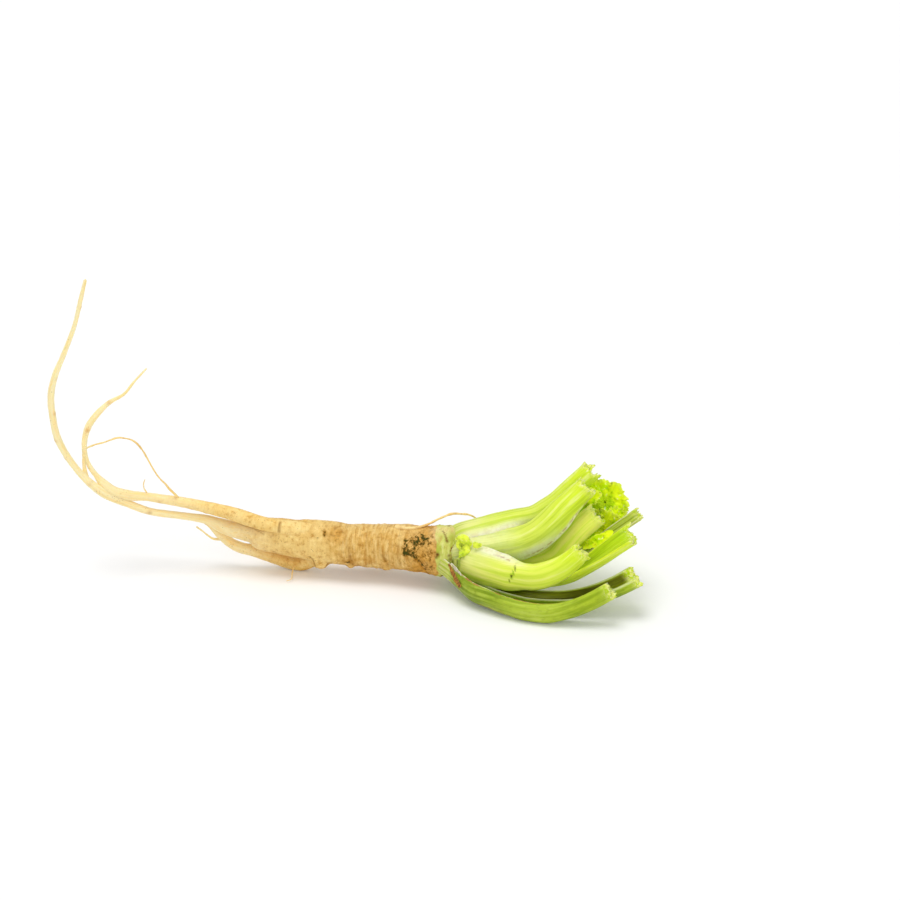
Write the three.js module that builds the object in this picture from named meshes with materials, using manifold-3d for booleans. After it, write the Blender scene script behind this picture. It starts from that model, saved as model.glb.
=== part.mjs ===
// A coriander root: one taproot with its side roots and rootlets, and the crown of cut leaf stalks that grows
// on it. It lies on a table. Millimetres, +X from the root's tail to the cut stalks, +Y to the back, +Z up.
import * as THREE from "three";
import { mergeVertices } from "three/addons/utils/BufferGeometryUtils.js";
import Module from "manifold-3d";

const wasm = await Module();
wasm.setup();

// ---------------------------------------------------------------- driving dimensions
// The point of the table under the middle of the whole root, in the frame that the way points are given in.
const TABLE_CENTRE = [-26.81, -6.23];
const TABLE_SIZE = 400; // side of the block below the root that presses flat what rests on it
const GAP = 0.3; // clearance between touching pieces
const ROOT_SIDES = 16; // facets round the taproot
const ROOTLET_SIDES = 7; // facets round a side root
const HAIR_SIDES = 5; // facets round a hair root
const STALK_SIDES = 14; // points round a leaf stalk's section, half on its back and half in its channel
const STALK_RINGS = 13; // sections along a leaf stalk
const MARGIN_THINNING = 0.62; // share of a stalk's wall that is gone at its two margins
const MARGIN_POWER = 4; // how late across the wall the thinning starts
const BLADE_EDGE_THINNING = 0.5; // share of a blade's thickness that is gone at its edges
const BLADE_WAVE_ACROSS = 4; // radians of a blade's wave from its middle to an edge
const BLADE_WAVE_ALONG = 9; // radians by which the wave shifts along a blade
const MERGE_WITHIN = 1e-4; // points of a mesh closer than this are one point

const vec = ([x, y, z]) => new THREE.Vector3(x, y, z);
const { lerp, smoothstep, degToRad } = THREE.MathUtils;

// ---------------------------------------------------------------- materials
const finish = (color, roughness) => new THREE.MeshStandardMaterial({ color, roughness, metalness: 0 });
const MATERIALS = {
  rootBark: finish(0xe0b878, 0.7),
  rootlet: finish(0xeccb8e, 0.65),
  leafStalk: finish(0xc3d84e, 0.45),
  youngLeaf: finish(0x9cc81e, 0.5),
  drySheath: finish(0xcdbf98, 0.8),
};

// ---------------------------------------------------------------- solids and geometry
function solidOf(geometry) {
  const bare = geometry.clone();
  bare.deleteAttribute("normal");
  bare.deleteAttribute("uv");
  const merged = mergeVertices(bare, MERGE_WITHIN);
  return new wasm.Manifold(
    new wasm.Mesh({
      numProp: 3,
      vertProperties: merged.attributes.position.array,
      triVerts: new Uint32Array(merged.index.array),
    }),
  );
}

function geometryOf(solid) {
  const mesh = solid.getMesh();
  return new THREE.BufferGeometry()
    .setAttribute("position", new THREE.BufferAttribute(mesh.vertProperties, 3))
    .setIndex(new THREE.BufferAttribute(mesh.triVerts, 1));
}

function largestBody(solid) {
  return solid.decompose().reduce((a, b) => (a.volume() > b.volume() ? a : b));
}

// A closed body through rings of points, with flat ends. sectionAt(t) gives the outline at share t of the
// length, and frameAt(t) the place and the two directions it is drawn in.
function loft(rings, frameAt, sectionAt) {
  const points = [];
  const faces = [];
  let sides = 0;
  for (let i = 0; i <= rings; i += 1) {
    const t = i / rings;
    const { at, across, out } = frameAt(t);
    const outline = sectionAt(t);
    sides = outline.length;
    for (const p of outline) {
      const point = at.clone().addScaledVector(across, p.x).addScaledVector(out, p.y);
      points.push(point.x, point.y, point.z);
    }
  }
  for (let i = 0; i < rings; i += 1) {
    for (let k = 0; k < sides; k += 1) {
      const [a, b] = [i * sides + k, i * sides + ((k + 1) % sides)];
      faces.push(a, b, a + sides, b, b + sides, a + sides);
    }
  }
  const last = rings * sides;
  for (const [a, b, c] of THREE.ShapeUtils.triangulateShape(sectionAt(0), [])) faces.push(c, b, a);
  for (const [a, b, c] of THREE.ShapeUtils.triangulateShape(sectionAt(1), [])) {
    faces.push(last + a, last + b, last + c);
  }
  return new THREE.BufferGeometry()
    .setAttribute("position", new THREE.Float32BufferAttribute(points, 3))
    .setIndex(faces);
}

// The value at share t of a list of [share, value] pairs, eased between them.
function along(pairs, t) {
  const next = pairs.findIndex(([share]) => share >= t);
  if (next <= 0) return pairs[next === 0 ? 0 : pairs.length - 1][1];
  const [[t0, v0], [t1, v1]] = [pairs[next - 1], pairs[next]];
  return lerp(v0, v1, smoothstep(t, t0, t1));
}

// ---------------------------------------------------------------- roots
// A round root along its way points, each [x, y, z, radius]. knobs are bumps on its skin.
function rootGeometry({ way, sides, rings, knobs = [] }, grow = 0) {
  const curve = new THREE.CatmullRomCurve3(way.map(vec), false, "centripetal");
  const radii = new THREE.CatmullRomCurve3(way.map(([, , , r], i) => new THREE.Vector3(i, r, 0)));
  const frames = curve.computeFrenetFrames(rings, false);
  // Rings are spread by way point, so the thick stretches, which have more way points, get more of them.
  const frameAt = (t) => {
    const i = Math.round(t * rings);
    return { at: curve.getPoint(t), across: frames.normals[i], out: frames.binormals[i] };
  };
  const sectionAt = (t) => {
    const { at, across, out } = frameAt(t);
    return Array.from({ length: sides }, (_, k) => {
      const angle = (2 * Math.PI * k) / sides;
      const [x, y] = [Math.cos(angle), Math.sin(angle)];
      const radius = radii.getPoint(t).y + grow;
      const skin = at.clone().addScaledVector(across, x * radius).addScaledVector(out, y * radius);
      const bump = knobs.reduce((sum, { at: spot, height, spread }) => {
        return sum + height * Math.exp(-(skin.distanceToSquared(vec(spot)) / spread ** 2));
      }, 0);
      return new THREE.Vector2(x * (radius + bump), y * (radius + bump));
    });
  };
  return loft(rings, frameAt, sectionAt);
}

// From the stem base, hidden in the leaf bases, along the trunk and out to the tip of the long tail.
const TAPROOT = {
  way: [
    [8.0, -8.2, 10.0, 1.0],
    [5.4, -7.5, 9.9, 2.6],
    [2.8, -6.7, 9.8, 4.4],
    [0.5, -5.9, 9.8, 5.8],
    [-2.6, -4.8, 9.5, 6.6],
    [-6.0, -3.4, 9.2, 6.1],
    [-12.6, -1.5, 9.0, 6.05],
    [-19.5, 0.0, 8.8, 5.85],
    [-29.6, 1.0, 8.9, 5.45],
    [-39.7, 2.5, 9.6, 5.0],
    [-45.5, 3.0, 10.4, 4.8],
    [-50.0, 3.4, 10.7, 4.3],
    [-52.4, 3.7, 11.3, 3.3],
    [-55.7, 4.1, 11.6, 2.75],
    [-58.4, 4.5, 11.8, 2.15],
    [-61.6, 5.0, 12.8, 1.65],
    [-64.0, 5.5, 13.7, 1.25],
    [-68.2, 6.0, 14.3, 1.05],
    [-71.7, 6.0, 14.8, 1.0],
    [-79.6, 6.0, 16.0, 1.0],
    [-84.5, 6.0, 17.9, 1.05],
    [-88.5, 6.0, 19.7, 1.1],
    [-91.6, 5.8, 21.4, 1.15],
    [-94.5, 5.6, 23.8, 1.0],
    [-97.4, 5.4, 27.3, 0.95],
    [-100.3, 5.0, 32.0, 0.92],
    [-102.6, 4.0, 38.0, 0.9],
    [-103.3, 3.0, 44.6, 0.88],
    [-103.2, 2.0, 50.0, 0.85],
    [-101.9, 1.2, 55.5, 0.78],
    [-99.0, 0.5, 62.3, 0.68],
    [-95.6, -1.0, 70.4, 0.62],
    [-93.3, -3.0, 78.1, 0.54],
    [-91.6, -4.0, 84.0, 0.42],
  ],
  sides: ROOT_SIDES,
  rings: 78,
  knobs: [
    { at: [-34.3, -0.4, 4.4], height: 1.5, spread: 1.9 }, // stub of a side root on the underside
    { at: [-26.2, -1.2, 4.4], height: 0.9, spread: 1.3 },
    { at: [-16.6, -3.6, 4.6], height: 0.5, spread: 1.5 },
  ],
};

const SIDE_ROOTS = [
  {
    name: "side_root_long",
    way: [
      [-30.0, 1.6, 11.6, 1.5],
      [-35.0, 1.1, 12.4, 1.75],
      [-39.5, 0.3, 13.3, 1.85],
      [-43.5, -0.2, 14.2, 1.8],
      [-47.9, 0.0, 14.9, 1.75],
      [-51.9, 0.9, 15.6, 1.8],
      [-55.4, 2.2, 16.3, 1.85],
      [-59.4, 3.4, 17.0, 1.75],
      [-63.5, 4.5, 17.6, 1.6],
      [-68.8, 5.5, 18.5, 1.4],
      [-74.2, 6.2, 19.2, 1.25],
      [-79.5, 6.4, 20.0, 1.2],
      [-84.8, 6.4, 20.6, 1.25],
      [-88.7, 6.3, 21.7, 1.25],
      [-91.0, 6.8, 23.3, 1.1],
      [-93.4, 7.8, 25.4, 0.72],
      [-95.5, 8.8, 28.2, 0.64],
      [-96.5, 9.4, 31.6, 0.66],
      [-96.3, 10.0, 35.4, 0.76],
      [-95.1, 10.3, 38.9, 0.85],
      [-92.6, 10.6, 42.2, 0.8],
      [-89.3, 10.8, 45.2, 0.6],
      [-85.5, 11.0, 47.4, 0.4],
      [-82.8, 11.5, 50.6, 0.34],
      [-79.3, 12.0, 54.3, 0.22],
    ],
    rings: 42,
  },
  {
    name: "side_root_low",
    way: [
      [-33.0, 2.4, 5.4, 1.5],
      [-36.7, 3.2, 3.0, 1.8],
      [-40.0, 4.3, 1.5, 1.9],
      [-43.2, 4.9, 1.8, 1.75],
      [-46.4, 5.2, 2.9, 1.7],
      [-49.6, 5.4, 3.9, 1.6],
      [-52.6, 5.6, 4.9, 1.6],
      [-55.2, 5.8, 5.4, 1.5],
      [-57.9, 6.2, 6.4, 1.4],
      [-60.0, 6.6, 8.0, 1.3],
      [-61.9, 7.0, 9.7, 1.15],
      [-63.4, 7.0, 11.4, 0.95],
      [-64.7, 6.6, 12.7, 0.8],
      [-66.3, 6.2, 13.8, 0.6],
    ],
    rings: 28,
  },
  {
    name: "side_root_back",
    way: [
      [-17.0, 3.6, 7.0, 1.3],
      [-19.5, 8.4, 4.4, 1.2],
      [-25.0, 12.6, 1.9, 1.05],
      [-33.0, 15.2, 1.3, 0.85],
      [-41.0, 15.4, 1.6, 0.6],
      [-48.0, 17.5, 2.6, 0.35],
    ],
    rings: 18,
  },
];

const HAIR_ROOTS = [
  {
    // leaves the long side root, arches over and comes back to it and down to the taproot's tail
    name: "rootlet_arched",
    way: [
      [-71.4, 6.0, 19.4, 0.42],
      [-73.4, 5.0, 22.4, 0.4],
      [-75.5, 4.0, 25.9, 0.34],
      [-78.0, 2.6, 30.4, 0.32],
      [-79.8, 1.6, 34.8, 0.34],
      [-81.2, 1.0, 37.3, 0.34],
      [-82.9, 0.6, 38.7, 0.32],
      [-85.5, 0.6, 39.1, 0.3],
      [-89.0, 1.6, 38.0, 0.34],
      [-92.5, 3.6, 36.1, 0.36],
      [-96.0, 7.2, 33.2, 0.4],
      [-96.8, 8.4, 30.0, 0.62],
      [-96.2, 7.2, 26.9, 0.72],
      [-95.2, 6.0, 24.4, 0.75],
    ],
    rings: 28,
  },
  {
    name: "rootlet_low",
    way: [
      [-61.0, 7.3, 7.4, 0.5],
      [-63.0, 7.6, 7.2, 0.44],
      [-65.3, 7.0, 9.3, 0.36],
      [-67.6, 6.6, 11.4, 0.3],
    ],
    rings: 8,
  },
  {
    name: "rootlet_over_collar",
    way: [
      [-14.6, -2.0, 15.0, 0.75],
      [-12.4, -2.8, 15.2, 0.7],
      [-10.5, -3.3, 15.3, 0.6],
      [-7.9, -3.0, 15.6, 0.5],
      [-5.2, -2.0, 16.0, 0.46],
      [-2.6, -1.0, 16.9, 0.44],
      [0.0, 0.0, 17.6, 0.42],
      [2.4, 1.0, 17.6, 0.4],
      [5.3, 2.0, 16.8, 0.36],
      [6.9, 3.2, 15.2, 0.3],
    ],
    rings: 18,
  },
  {
    name: "hair_root_table",
    way: [
      [-40.6, 3.6, 2.2, 0.26],
      [-41.9, 0.6, 1.2, 0.22],
      [-41.6, -2.0, 0.5, 0.2],
      [-43.2, -4.4, 0.5, 0.16],
    ],
    rings: 8,
  },
  {
    name: "hair_root_upper",
    way: [[-80.2, 6.8, 21.0, 0.26], [-81.2, 6.2, 23.0, 0.22], [-80.4, 5.8, 25.4, 0.16]],
    rings: 6,
  },
];

// ---------------------------------------------------------------- leaf stalks
// The outline of a cut stalk: a wall of half thickness half, bent round a channel. The middle of the wall is an
// arc of the radius given, which wraps by the angle wrap to each side. Its box is centred on the origin, with
// the back towards +y.
function stalkSection({ radius, wrap, half }, grow) {
  const steps = STALK_SIDES / 2 - 1;
  const reach = degToRad(wrap);
  const middle = (radius + half + Math.min(1, Math.cos(reach)) * radius) / 2;
  const edge = (side) => (_, k) => {
    const share = side * (1 - (2 * k) / steps);
    const wall = half * (1 - MARGIN_THINNING * share ** MARGIN_POWER) + grow;
    const from = radius + side * wall;
    const angle = share * (reach + grow / radius);
    return new THREE.Vector2(from * Math.sin(angle), from * Math.cos(angle) - middle);
  };
  const back = Array.from({ length: steps + 1 }, edge(1));
  const channel = Array.from({ length: steps + 1 }, edge(-1));
  return [...back, ...channel];
}

function stalkGeometry({ way, backs, sections, rings = STALK_RINGS }, grow = 0) {
  const curve = new THREE.CatmullRomCurve3(way.map(vec), false, "centripetal");
  const [from, to] = backs.map((back) => vec(back).normalize());
  const frameAt = (t) => {
    const tangent = curve.getTangentAt(t);
    const ends = (t === 0 ? -1 : 0) + (t === 1 ? 1 : 0);
    const at = curve.getPointAt(t).addScaledVector(tangent, ends * grow);
    const out = from.clone().lerp(to, t);
    out.addScaledVector(tangent, -out.dot(tangent)).normalize();
    return { at, out, across: out.clone().cross(tangent) };
  };
  const sectionAt = (t) => {
    const value = (key) => along(sections.map(([share, section]) => [share, section[key]]), t);
    return stalkSection({ radius: value("radius"), wrap: value("wrap"), half: value("half") }, grow);
  };
  return loft(rings, frameAt, sectionAt);
}

// Each is listed with its way points, the way its back faces at the base and at the cut, and its section at
// shares of its length. They go from the heart of the crown outwards, because each is cut to make room for
// those before it.
const STALKS = [
  {
    name: "stalk_heart",
    way: [
      [6.9, -6.5, 9.7],
      [14.6, -7.8, 7.9],
      [22.2, -9.0, 7.6],
      [27.1, -9.5, 10.0],
      [30.1, -9.2, 13.6],
      [33.9, -8.2, 17.7],
      [38.4, -7.0, 21.5],
    ],
    backs: [[0, -1, 0.1], [-0.25, -0.75, 0.62]],
    sections: [
      [0, { radius: 3.0, wrap: 60, half: 0.8 }],
      [0.6, { radius: 2.9, wrap: 66, half: 0.85 }],
      [1, { radius: 2.8, wrap: 84, half: 1.0 }],
    ],
  },
  {
    name: "stalk_inner_back",
    way: [
      [6.5, -4.2, 9.6],
      [14.0, -2.2, 10.0],
      [21.0, 0.4, 12.0],
      [27.0, 2.4, 14.8],
      [31.5, 3.6, 17.8],
    ],
    backs: [[0, 0.9, 0.1], [-0.2, 0.9, -0.3]],
    sections: [
      [0, { radius: 2.6, wrap: 70, half: 0.8 }],
      [0.6, { radius: 1.7, wrap: 95, half: 0.75 }],
    ],
  },
  {
    name: "stalk_thin",
    way: [
      [8.0, -5.2, 6.6],
      [20.0, -5.4, 5.6],
      [30.7, -6.2, 6.9],
      [36.0, -8.2, 11.1],
      [40.3, -9.2, 15.1],
      [43.6, -9.0, 17.5],
      [46.7, -8.6, 19.6],
      [49.7, -8.0, 21.7],
    ],
    backs: [[0, 0.3, -0.9], [0.3, 0.5, -0.75]],
    sections: [
      [0, { radius: 1.2, wrap: 80, half: 0.5 }],
      [0.6, { radius: 1.3, wrap: 84, half: 0.5 }],
      [1, { radius: 1.7, wrap: 76, half: 0.55 }],
    ],
  },
  {
    name: "stalk_channel",
    way: [
      [5.7, -9.5, 7.2],
      [9.5, -11.5, 6.6],
      [16.3, -14.0, 5.9],
      [25.8, -16.5, 6.2],
      [31.4, -17.3, 8.2],
      [37.2, -17.5, 11.9],
      [42.2, -17.0, 15.6],
      [48.1, -16.2, 19.6],
    ],
    backs: [[0, -0.5, -0.86], [0.45, 0.3, -0.8]],
    sections: [
      [0, { radius: 3.4, wrap: 62, half: 0.8 }],
      [0.6, { radius: 3.0, wrap: 80, half: 0.9 }],
      [1, { radius: 3.3, wrap: 74, half: 1.1 }],
    ],
  },
  {
    name: "stalk_upper_front",
    way: [
      [0.8, -9.0, 11.7],
      [3.6, -9.8, 12.5],
      [6.6, -10.1, 12.9],
      [9.8, -10.3, 13.2],
      [13.4, -10.6, 13.9],
      [18.2, -10.8, 15.0],
      [22.4, -10.8, 17.1],
      [26.5, -10.0, 20.6],
      [29.9, -8.8, 24.1],
      [35.8, -7.0, 29.6],
    ],
    backs: [[-0.3, -0.6, 0.7], [-0.4, -0.75, 0.5]],
    sections: [
      [0, { radius: 3.6, wrap: 62, half: 0.8 }],
      [0.2, { radius: 4.0, wrap: 62, half: 0.8 }],
      [0.42, { radius: 4.8, wrap: 70, half: 0.8 }],
      [0.6, { radius: 3.9, wrap: 82, half: 0.8 }],
      [1, { radius: 2.1, wrap: 100, half: 1.15 }],
    ],
    rings: 15,
  },
  {
    name: "stalk_top",
    way: [
      [0.6, -5.8, 13.6],
      [2.6, -5.4, 14.9],
      [6.0, -4.8, 15.9],
      [11.5, -3.6, 16.9],
      [16.5, -2.0, 17.6],
      [22.2, -0.6, 18.4],
      [27.0, 0.6, 21.0],
      [31.2, 1.7, 24.5],
      [37.9, 3.1, 30.4],
    ],
    backs: [[-0.25, -0.3, 0.92], [-0.62, -0.3, 0.72]],
    sections: [
      [0, { radius: 4.8, wrap: 66, half: 0.8 }],
      [0.25, { radius: 4.6, wrap: 64, half: 0.8 }],
      [0.55, { radius: 3.0, wrap: 80, half: 0.8 }],
      [1, { radius: 2.5, wrap: 92, half: 1.35 }],
    ],
  },
  {
    name: "stalk_back",
    way: [
      [2.0, -1.6, 10.6],
      [8.0, 3.0, 10.6],
      [16.0, 7.2, 11.0],
      [24.0, 10.0, 12.8],
      [30.0, 11.4, 15.8],
      [34.0, 12.2, 19.0],
    ],
    backs: [[-0.3, 0.9, 0.2], [-0.2, 0.95, 0.2]],
    sections: [
      [0, { radius: 4.6, wrap: 62, half: 0.8 }],
      [0.7, { radius: 2.0, wrap: 95, half: 0.85 }],
    ],
  },
  {
    name: "stalk_low",
    way: [
      [1.6, -6.8, 4.3],
      [5.4, -10.0, 3.8],
      [8.8, -13.0, 3.4],
      [14.4, -17.0, 2.8],
      [20.0, -20.0, 2.7],
      [25.6, -22.0, 3.2],
      [31.2, -23.0, 3.9],
      [36.8, -23.3, 5.2],
      [42.6, -23.2, 7.3],
      [48.3, -22.8, 10.4],
    ],
    backs: [[-0.2, -0.3, -0.93], [0.3, 0.25, -0.92]],
    sections: [
      [0, { radius: 4.2, wrap: 60, half: 0.85 }],
      [0.6, { radius: 2.6, wrap: 86, half: 0.8 }],
      [1, { radius: 2.7, wrap: 88, half: 1.35 }],
    ],
    rings: 15,
  },
  {
    name: "stalk_back_low",
    way: [
      [1.4, -2.0, 6.2],
      [6.0, 2.4, 3.8],
      [12.0, 6.4, 2.0],
      [20.0, 10.0, 1.4],
      [28.0, 12.8, 1.7],
      [37.0, 15.4, 3.5],
      [43.0, 16.8, 6.2],
    ],
    backs: [[-0.2, 0.5, -0.85], [0.1, 0.35, -0.93]],
    sections: [
      [0, { radius: 4.2, wrap: 60, half: 0.85 }],
      [0.6, { radius: 1.9, wrap: 95, half: 0.85 }],
    ],
  },
  {
    name: "stalk_front",
    way: [
      [2.6, -9.6, 8.2],
      [5.0, -12.0, 8.4],
      [8.0, -14.7, 8.7],
      [11.0, -17.2, 9.0],
      [16.1, -21.0, 9.4],
      [21.7, -23.6, 10.0],
      [25.4, -24.2, 11.3],
      [29.1, -24.2, 13.4],
      [34.4, -23.5, 17.9],
    ],
    backs: [[-0.4, -0.85, 0.12], [0.35, -0.9, -0.3]],
    sections: [
      [0, { radius: 5.6, wrap: 74, half: 0.95 }],
      [0.2, { radius: 5.5, wrap: 76, half: 0.95 }],
      [0.36, { radius: 4.9, wrap: 80, half: 0.95 }],
      [0.55, { radius: 3.3, wrap: 86, half: 0.95 }],
      [1, { radius: 2.1, wrap: 104, half: 1.1 }],
    ],
    rings: 16,
  },
  {
    name: "stalk_low_front",
    way: [
      [-1.8, -9.0, 6.4],
      [1.0, -12.0, 5.2],
      [3.4, -15.0, 4.2],
      [6.2, -18.2, 3.3],
      [9.8, -21.4, 3.0],
      [14.4, -24.6, 2.5],
      [19.8, -27.2, 2.1],
      [25.3, -28.8, 2.4],
      [30.8, -29.5, 3.9],
      [36.0, -29.7, 6.3],
      [41.4, -29.7, 9.7],
    ],
    backs: [[-0.35, -0.66, -0.7], [0.1, -0.93, -0.35]],
    sections: [
      [0, { radius: 4.6, wrap: 64, half: 0.6 }],
      [0.1, { radius: 4.2, wrap: 64, half: 0.8 }],
      [0.24, { radius: 3.5, wrap: 78, half: 0.8 }],
      [0.42, { radius: 2.5, wrap: 96, half: 0.8 }],
      [1, { radius: 1.85, wrap: 100, half: 0.95 }],
    ],
    rings: 17,
  },
];

// ---------------------------------------------------------------- young leaf, buds and dry sheath
// A thin, wavy blade: a loft whose section is a wave across its width.
function bladeGeometry({ way, facing, widths, thicknesses, waves, rings, across: count }, grow = 0) {
  const curve = new THREE.CatmullRomCurve3(way.map(vec), false, "centripetal");
  const towards = vec(facing).normalize();
  const frameAt = (t) => {
    const tangent = curve.getTangentAt(t);
    const ends = (t === 0 ? -1 : 0) + (t === 1 ? 1 : 0);
    const at = curve.getPointAt(t).addScaledVector(tangent, ends * grow);
    const out = towards.clone().addScaledVector(tangent, -towards.dot(tangent)).normalize();
    return { at, out, across: out.clone().cross(tangent) };
  };
  const sectionAt = (t) => {
    const half = along(widths, t) / 2 + grow;
    const thick = along(thicknesses, t) / 2 + grow;
    const skin = (side) => (_, k) => {
      const share = side * (1 - (2 * k) / (count - 1));
      const wave = along(waves, t) * Math.sin(share * BLADE_WAVE_ACROSS + t * BLADE_WAVE_ALONG);
      const depth = thick * (1 - BLADE_EDGE_THINNING * share ** 2);
      return new THREE.Vector2(share * half, wave + side * depth);
    };
    return [...Array.from({ length: count }, skin(1)), ...Array.from({ length: count }, skin(-1))];
  };
  return loft(rings, frameAt, sectionAt);
}

const BLADES = [
  {
    name: "young_leaf",
    material: "youngLeaf",
    way: [
      [11.0, -5.6, 10.4],
      [18.0, -5.0, 9.8],
      [24.0, -5.0, 10.2],
      [31.0, -4.9, 11.2],
      [36.0, -4.6, 12.8],
      [39.6, -3.6, 15.6],
      [40.8, -2.2, 20.0],
      [41.0, -0.8, 27.0],
    ],
    facing: [-0.3, -0.85, 0.42],
    widths: [[0, 1.6], [0.45, 2.4], [0.62, 4.4], [0.8, 11.0], [1, 9]],
    thicknesses: [[0, 1.3], [0.5, 1.2], [0.7, 0.8]],
    waves: [[0, 0], [0.55, 0], [0.9, 1.1]],
    rings: 17,
    across: 8,
  },
  {
    name: "crown_bud",
    material: "youngLeaf",
    way: [[2.4, -12.7, 11.1], [3.1, -12.8, 12.2], [3.9, -12.6, 13.6], [3.6, -12.2, 15.2], [2.8, -12.0, 16.4]],
    facing: [-0.3, -0.9, 0.25],
    widths: [[0, 0.8], [0.4, 2.6], [0.75, 3.0], [1, 1.8]],
    thicknesses: [[0, 1.0]],
    waves: [[0, 0.2]],
    rings: 7,
    across: 5,
  },
  {
    name: "crown_bud_small",
    material: "youngLeaf",
    way: [[5.7, -13.4, 15.0], [7.0, -13.6, 15.0], [8.3, -13.6, 15.0]],
    facing: [-0.1, -0.8, 0.6],
    widths: [[0, 1.4], [0.5, 2.0], [1, 0.8]],
    thicknesses: [[0, 0.8]],
    waves: [[0, 0.1]],
    rings: 4,
    across: 4,
  },
  {
    name: "dry_sheath_brown",
    material: "drySheath",
    way: [[-0.3, -13.6, 9.7], [0.7, -15.0, 8.1], [1.9, -16.9, 6.2], [2.7, -18.0, 5.1]],
    facing: [-0.5, -0.8, 0.0],
    widths: [[0, 0.7], [0.5, 1.3], [1, 1.0]],
    thicknesses: [[0, 0.45]],
    waves: [[0, 0.1]],
    rings: 6,
    across: 4,
  },
  {
    name: "dry_sheath_pale",
    material: "drySheath",
    way: [[0.5, -13.8, 10.0], [1.8, -15.2, 8.7], [2.9, -16.4, 7.2], [3.8, -17.4, 5.9]],
    facing: [-0.6, -0.7, -0.1],
    widths: [[0, 0.6], [0.5, 1.3], [1, 0.6]],
    thicknesses: [[0, 0.4]],
    waves: [[0, 0.1]],
    rings: 5,
    across: 4,
  },
];

// ---------------------------------------------------------------- assembly
const root = new THREE.Group();
const placed = []; // solids already placed, each grown by the gap, which later ones are cut by
const table = solidOf(
  new THREE.BoxGeometry(TABLE_SIZE, TABLE_SIZE, TABLE_SIZE).translate(0, 0, -TABLE_SIZE / 2),
);

function place(name, material, shape) {
  const body = placed.reduce((solid, other) => solid.subtract(other), solidOf(shape(0)));
  const mesh = new THREE.Mesh(geometryOf(largestBody(body.subtract(table))), MATERIALS[material]);
  mesh.name = name;
  root.add(mesh);
  placed.push(solidOf(shape(GAP)));
}

place("taproot", "rootBark", (grow) => rootGeometry(TAPROOT, grow));
for (const side of SIDE_ROOTS) {
  place(side.name, "rootlet", (grow) => rootGeometry({ ...side, sides: ROOTLET_SIDES }, grow));
}
for (const stalk of STALKS) place(stalk.name, "leafStalk", (grow) => stalkGeometry(stalk, grow));
for (const blade of BLADES) place(blade.name, blade.material, (grow) => bladeGeometry(blade, grow));
for (const hair of HAIR_ROOTS) {
  place(hair.name, "rootlet", (grow) => rootGeometry({ ...hair, sides: HAIR_SIDES }, grow));
}
root.position.set(-TABLE_CENTRE[0], -TABLE_CENTRE[1], 0);

export default root;
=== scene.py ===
"""A coriander root lying on a pale table: a wrinkled tan taproot with side roots and hairs, a pale green
collar, and the crown of cut, ribbed leaf stalks. Lengths here are millimetres; the scene is in metres."""

from itertools import product
from math import pi, radians

import bmesh
import bpy
import numpy as np
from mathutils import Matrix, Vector
from mathutils.kdtree import KDTree


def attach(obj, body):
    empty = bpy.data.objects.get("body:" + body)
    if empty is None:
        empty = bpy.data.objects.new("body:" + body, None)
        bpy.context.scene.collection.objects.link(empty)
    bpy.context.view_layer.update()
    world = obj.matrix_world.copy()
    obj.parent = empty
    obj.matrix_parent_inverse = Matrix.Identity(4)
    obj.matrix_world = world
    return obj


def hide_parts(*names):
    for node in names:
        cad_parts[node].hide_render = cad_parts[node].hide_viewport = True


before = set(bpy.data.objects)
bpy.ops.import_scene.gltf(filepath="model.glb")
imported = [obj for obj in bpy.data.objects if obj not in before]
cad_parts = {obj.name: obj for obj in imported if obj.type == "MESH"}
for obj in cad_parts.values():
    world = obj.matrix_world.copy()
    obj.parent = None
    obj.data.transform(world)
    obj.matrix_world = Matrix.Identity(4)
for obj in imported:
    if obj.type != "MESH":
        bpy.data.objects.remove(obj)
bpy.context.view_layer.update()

MM = 0.001
TABLE_CENTRE = np.array([-26.81, -6.23, 0])  # the root's own coordinates of the scene's origin
UP = np.array([0.0, 0.0, 1.0])
TOWARDS_VIEWER = np.array([0.0, -1.0, 0.0])


# ---------------------------------------------------------------- noise
def hashed(i, j, k, seed):
    """A fixed random number from -1 to 1 for each whole-number place of a lattice."""
    n = (i * 1619 + j * 31337 + k * 6971 + seed * 1013) & 0x7FFFFFFF
    n = ((n >> 13) ^ n) & 0x7FFFFFFF
    n = (n * (n * n * 60493 + 19990303) + 1376312589) & 0x7FFFFFFF
    return n / 0x3FFFFFFF - 1.0


def value_noise(points, seed):
    """Smooth noise from -1 to 1 at points of shape (..., 3)."""
    cell = np.floor(points).astype(np.int64)
    near = points - cell
    near = near * near * (3 - 2 * near)
    total = np.zeros(points.shape[:-1])
    for corner in product((0, 1), repeat=3):
        corner = np.array(corner)
        weight = np.prod(np.where(corner == 1, near, 1 - near), axis=-1)
        place = cell + corner
        total += weight * hashed(place[..., 0], place[..., 1], place[..., 2], seed)
    return total


def fractal(points, seed, octaves=3):
    """Noise in layers, each twice as fine and half as strong. Each use has a seed of its own."""
    return sum(value_noise(points * 2**o, seed + o) / 2**o for o in range(octaves))


def smoothstep(x, low, high):
    """0 at low to 1 at high, eased at both ends."""
    share = np.clip((x - low) / (high - low), 0.0, 1.0)
    return share * share * (3 - 2 * share)


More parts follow.
